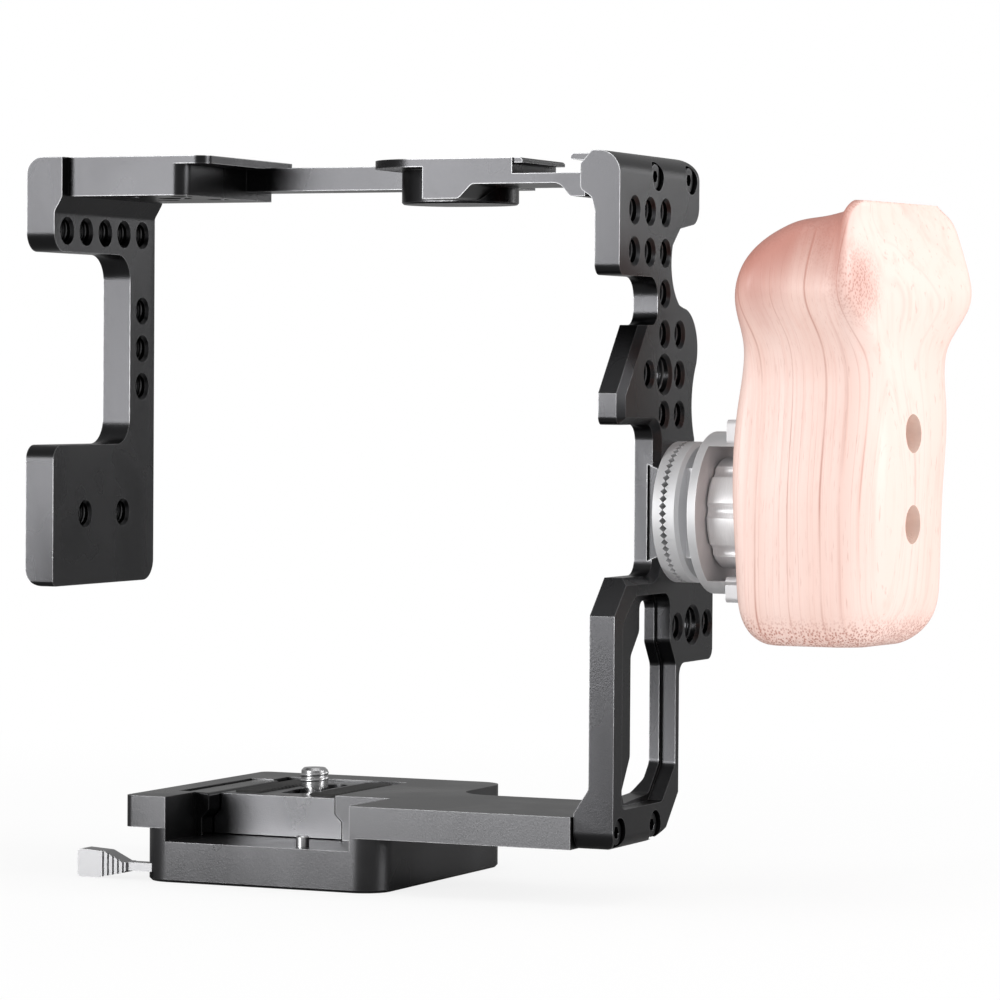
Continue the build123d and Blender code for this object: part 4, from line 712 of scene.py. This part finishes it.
class CAGE_OT_stop(bpy.types.Operator):
    """Finish the stop pin and its plug, and wind its spring"""
    bl_idname = "cage.stop"
    bl_label = "Stop pin and spring"

    def execute(self, context):
        sizes = context.scene.cage_sizes
        finished("stop_pin", brushed_steel(), "steel", sizes.fitting_ease)
        finished("stop_plug", black_steel(), "black_steel", sizes.fitting_ease)
        low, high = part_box("stop_spring")
        centre, wire = (low + high) / 2, sizes.spring_wire
        reach = (high.x - low.x) / 2 - wire
        rise = high.z - low.z - 2 * wire
        profile = [(wire * (1 + math.sin(a)), reach + wire * math.cos(a))
                   for a in (2 * math.pi * i / 8 for i in range(8))]
        bm = bmesh.new()
        helix(bm, Vector((centre.x, centre.y, low.z)), UP, profile, rise / sizes.spring_turns,
              sizes.spring_turns, 24)
        mesh = to_mesh(tidy_normals(bm), "stop_spring_coil", 60.0)
        spring = put("stop_spring_coil", mesh, brushed_steel(), "frame", "steel", "stop_spring")
        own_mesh(spring)
        return {"FINISHED"}


class CAGE_OT_rosettes(bpy.types.Operator):
    """Finish the two toothed faces and the black tenon under the fixed one"""
    bl_idname = "cage.rosettes"
    bl_label = "Rosettes"

    def execute(self, context):
        ease = context.scene.cage_sizes.tooth_ease
        fixed = finished("rosette_mount", silver(), "silver", ease, segments=1, sharp=25.0)
        finished("handle_rosette", silver(), "silver", ease, segments=1, sharp=25.0)
        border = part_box("side_plate")[1].x - 0.05 * MM
        split_off(fixed, "rosette_tenon", lambda centre: centre.x < border, black_anodised(), "frame",
                  "black_anodised")
        return {"FINISHED"}


class CAGE_OT_yoke(bpy.types.Operator):
    """Finish the yoke, the clamping knob and its stud"""
    bl_idname = "cage.yoke"
    bl_label = "Yoke and knob"

    def execute(self, context):
        ease = context.scene.cage_sizes.plate_ease
        finished("handle_yoke", silver(), "silver", ease)
        finished("clamp_knob", turned_silver(), "silver", ease)
        finished("clamp_stud", brushed_steel(), "steel", context.scene.cage_sizes.fitting_ease)
        return {"FINISHED"}


class CAGE_OT_grip(bpy.types.Operator):
    """Finish the wooden grip, whose thumb rest is carved beside its outer edge, and its screws"""
    bl_idname = "cage.grip"
    bl_label = "Wooden grip"

    def execute(self, context):
        sizes = context.scene.cage_sizes
        bm = merged_copy("wood_grip")
        for _ in range(4):
            coarse = [edge for edge in bm.edges if edge.calc_length() > GRIP_EDGE]
            bmesh.ops.subdivide_edges(bm, edges=coarse, cuts=1)
            bmesh.ops.triangulate(bm, faces=[face for face in bm.faces if len(face.verts) > 3])
            bmesh.ops.dissolve_degenerate(bm, dist=0.004 * MM, edges=bm.edges)
        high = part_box("wood_grip")[1]
        carve(bm, high.z, high.x - OUTER_BAND, sizes.step_drop, sizes.thumb_rest)
        mesh = to_mesh(bm, "wood_grip_finished", 50.0)
        put("wood_grip_finished", mesh, wood(), "handle", "wood", "wood_grip")
        finished("grip_screws", brushed_steel(), "steel", sizes.fitting_ease)
        return {"FINISHED"}


def floor_finish(stage):
    """White for the camera but for a share of the shadow, and dimmer where metal mirrors it."""
    made, tree, shader = finish_base("Pale floor")
    shader.inputs["Base Color"].default_value = (*stage.floor, 1.0)
    shader.inputs["Roughness"].default_value = 0.9
    shader.inputs["Specular IOR Level"].default_value = 0.0
    rays = node(tree, "ShaderNodeLightPath").outputs
    glow = node(tree, "ShaderNodeEmission", None, Color=(1, 1, 1, 1), Strength=1.0).outputs[0]
    dark = node(tree, "ShaderNodeEmission", None, Strength=0.0).outputs[0]
    away = node(tree, "ShaderNodeVectorMath", {"operation": "LENGTH"}, i0=placed(tree)).outputs["Value"]
    plain = ranged(tree, away, 0.12, 0.7 * FLOOR_RADIUS, 1.0 - stage.shadow, 1.0, smooth=True)
    white = maths(tree, "MULTIPLY", plain, rays["Is Camera Ray"])
    lit = node(tree, "ShaderNodeMixShader", None, i0=white, i1=shader.outputs[0], i2=glow).outputs[0]
    dimmed = maths(tree, "MULTIPLY", rays["Is Glossy Ray"], 1.0 - stage.mirrored)
    shown = node(tree, "ShaderNodeMixShader", None, i0=dimmed, i1=lit, i2=dark).outputs[0]
    tree.links.new(shown, tree.nodes["Material Output"].inputs["Surface"])
    return made


def lay_floor(stage):
    bm = bmesh.new()
    bmesh.ops.create_circle(bm, cap_ends=True, radius=FLOOR_RADIUS, segments=96)
    bmesh.ops.translate(bm, verts=bm.verts, vec=(0, 0, -0.05 * MM))
    mesh = bpy.data.meshes.new("floor")
    bm.to_mesh(mesh)
    bm.free()
    mesh.materials.append(floor_finish(stage))
    floor = bpy.data.objects.new("floor", mesh)
    bpy.context.scene.collection.objects.link(floor)


def lamp(name, place, target, width, height, strength):
    """A soft box that the camera doesn't see."""
    light = bpy.data.lights.new(name, "AREA")
    light.shape, light.size, light.size_y, light.energy = "RECTANGLE", width, height, strength
    made = bpy.data.objects.new(name, light)
    bpy.context.scene.collection.objects.link(made)
    made.location = place
    made.rotation_euler = (Vector(target) - Vector(place)).to_track_quat("-Z", "Y").to_euler()
    made.visible_camera = False


def light_world(stage):
    """White for the camera, even light for every surface and a dimmer room for metal to mirror."""
    world = bpy.data.worlds.new("Studio")
    world.use_nodes = True
    bpy.context.scene.world = world
    tree = world.node_tree
    background = tree.nodes["Background"]
    background.inputs["Color"].default_value = (1, 1, 1, 1)
    rays = node(tree, "ShaderNodeLightPath").outputs
    room = ranged(tree, rays["Is Glossy Ray"], 0.0, 1.0, stage.world, stage.sheen)
    strength = maths(tree, "MAXIMUM", room, rays["Is Camera Ray"])
    tree.links.new(strength, background.inputs["Strength"])


def place_camera():
    """Turns, tilts and rolls a long lens towards the cage from behind its right side."""
    turn, tilt, roll = (math.radians(angle) for angle in CAMERA_ANGLES)
    forward = Vector((-math.sin(turn) * math.cos(tilt), math.cos(turn) * math.cos(tilt), math.sin(tilt)))
    level = Vector((math.cos(turn), math.sin(turn), 0))
    above = level.cross(forward)
    right = math.cos(roll) * level + math.sin(roll) * above
    upward = -math.sin(roll) * level + math.cos(roll) * above
    view = bpy.data.cameras.new("camera")
    view.lens, view.sensor_width = CAMERA_LENS, CAMERA_SENSOR
    view.clip_start, view.clip_end = 0.01, 100.0
    camera = bpy.data.objects.new("camera", view)
    bpy.context.scene.collection.objects.link(camera)
    placing = Matrix((right, upward, -forward)).transposed().to_4x4()
    placing.translation = CAMERA_PLACE
    camera.matrix_world = placing
    bpy.context.scene.camera = camera


class CAGE_OT_stage(bpy.types.Operator):
    """Set up the floor, the soft lights and the camera"""
    bl_idname = "cage.stage"
    bl_label = "Stage"

    def execute(self, context):
        stage = context.scene.cage_stage
        lay_floor(stage)
        lamp("key_light", (-0.62, -1.36, 0.27), (0.01, 0, 0.10), 0.56, 0.6, stage.key)
        lamp("fill_light", (1.42, 0.10, 0.42), (0.12, 0, 0.10), 0.6, 0.8, stage.fill)
        lamp("back_light", (0.90, 1.38, 0.42), (0.08, 0, 0.12), 0.4, 0.45, stage.back)
        lamp("top_light", (0.1, -0.1, 1.3), (0.02, 0, 0.1), 1.0, 1.0, stage.top)
        light_world(stage)
        place_camera()
        context.scene.view_settings.view_transform = "Standard"
        return {"FINISHED"}


OPERATORS = (CAGE_OT_stage, CAGE_OT_plates, CAGE_OT_threads, CAGE_OT_plate_screws, CAGE_OT_quick_release,
             CAGE_OT_lever, CAGE_OT_stop, CAGE_OT_rosettes, CAGE_OT_yoke, CAGE_OT_grip)


class CAGE_PT_panel(bpy.types.Panel):
    """Lists the pieces of the cage and their settings"""
    bl_label = "Camera cage"
    bl_idname = "CAGE_PT_panel"
    bl_space_type = "VIEW_3D"
    bl_region_type = "UI"
    bl_category = "Cage"

    def draw(self, context):
        for operator in OPERATORS:
            self.layout.operator(operator.bl_idname)
        for group in (context.scene.cage_finishes, context.scene.cage_sizes, context.scene.cage_stage):
            box = self.layout.box()
            for name in group.__annotations__:
                box.prop(group, name)


CLASSES = (CageFinishes, CageSizes, CageStage, *OPERATORS, CAGE_PT_panel)
SETTINGS = {"cage_finishes": CageFinishes, "cage_sizes": CageSizes, "cage_stage": CageStage}


def register():
    for made in CLASSES:
        bpy.utils.register_class(made)
    for name, kind in SETTINGS.items():
        setattr(bpy.types.Scene, name, bpy.props.PointerProperty(type=kind))


def unregister():
    for name in SETTINGS:
        delattr(bpy.types.Scene, name)
    for made in reversed(CLASSES):
        bpy.utils.unregister_class(made)


def main():
    register()
    for operator in OPERATORS:
        group, name = operator.bl_idname.split(".")
        getattr(getattr(bpy.ops, group), name)()


if __name__ == "__main__":
    main()
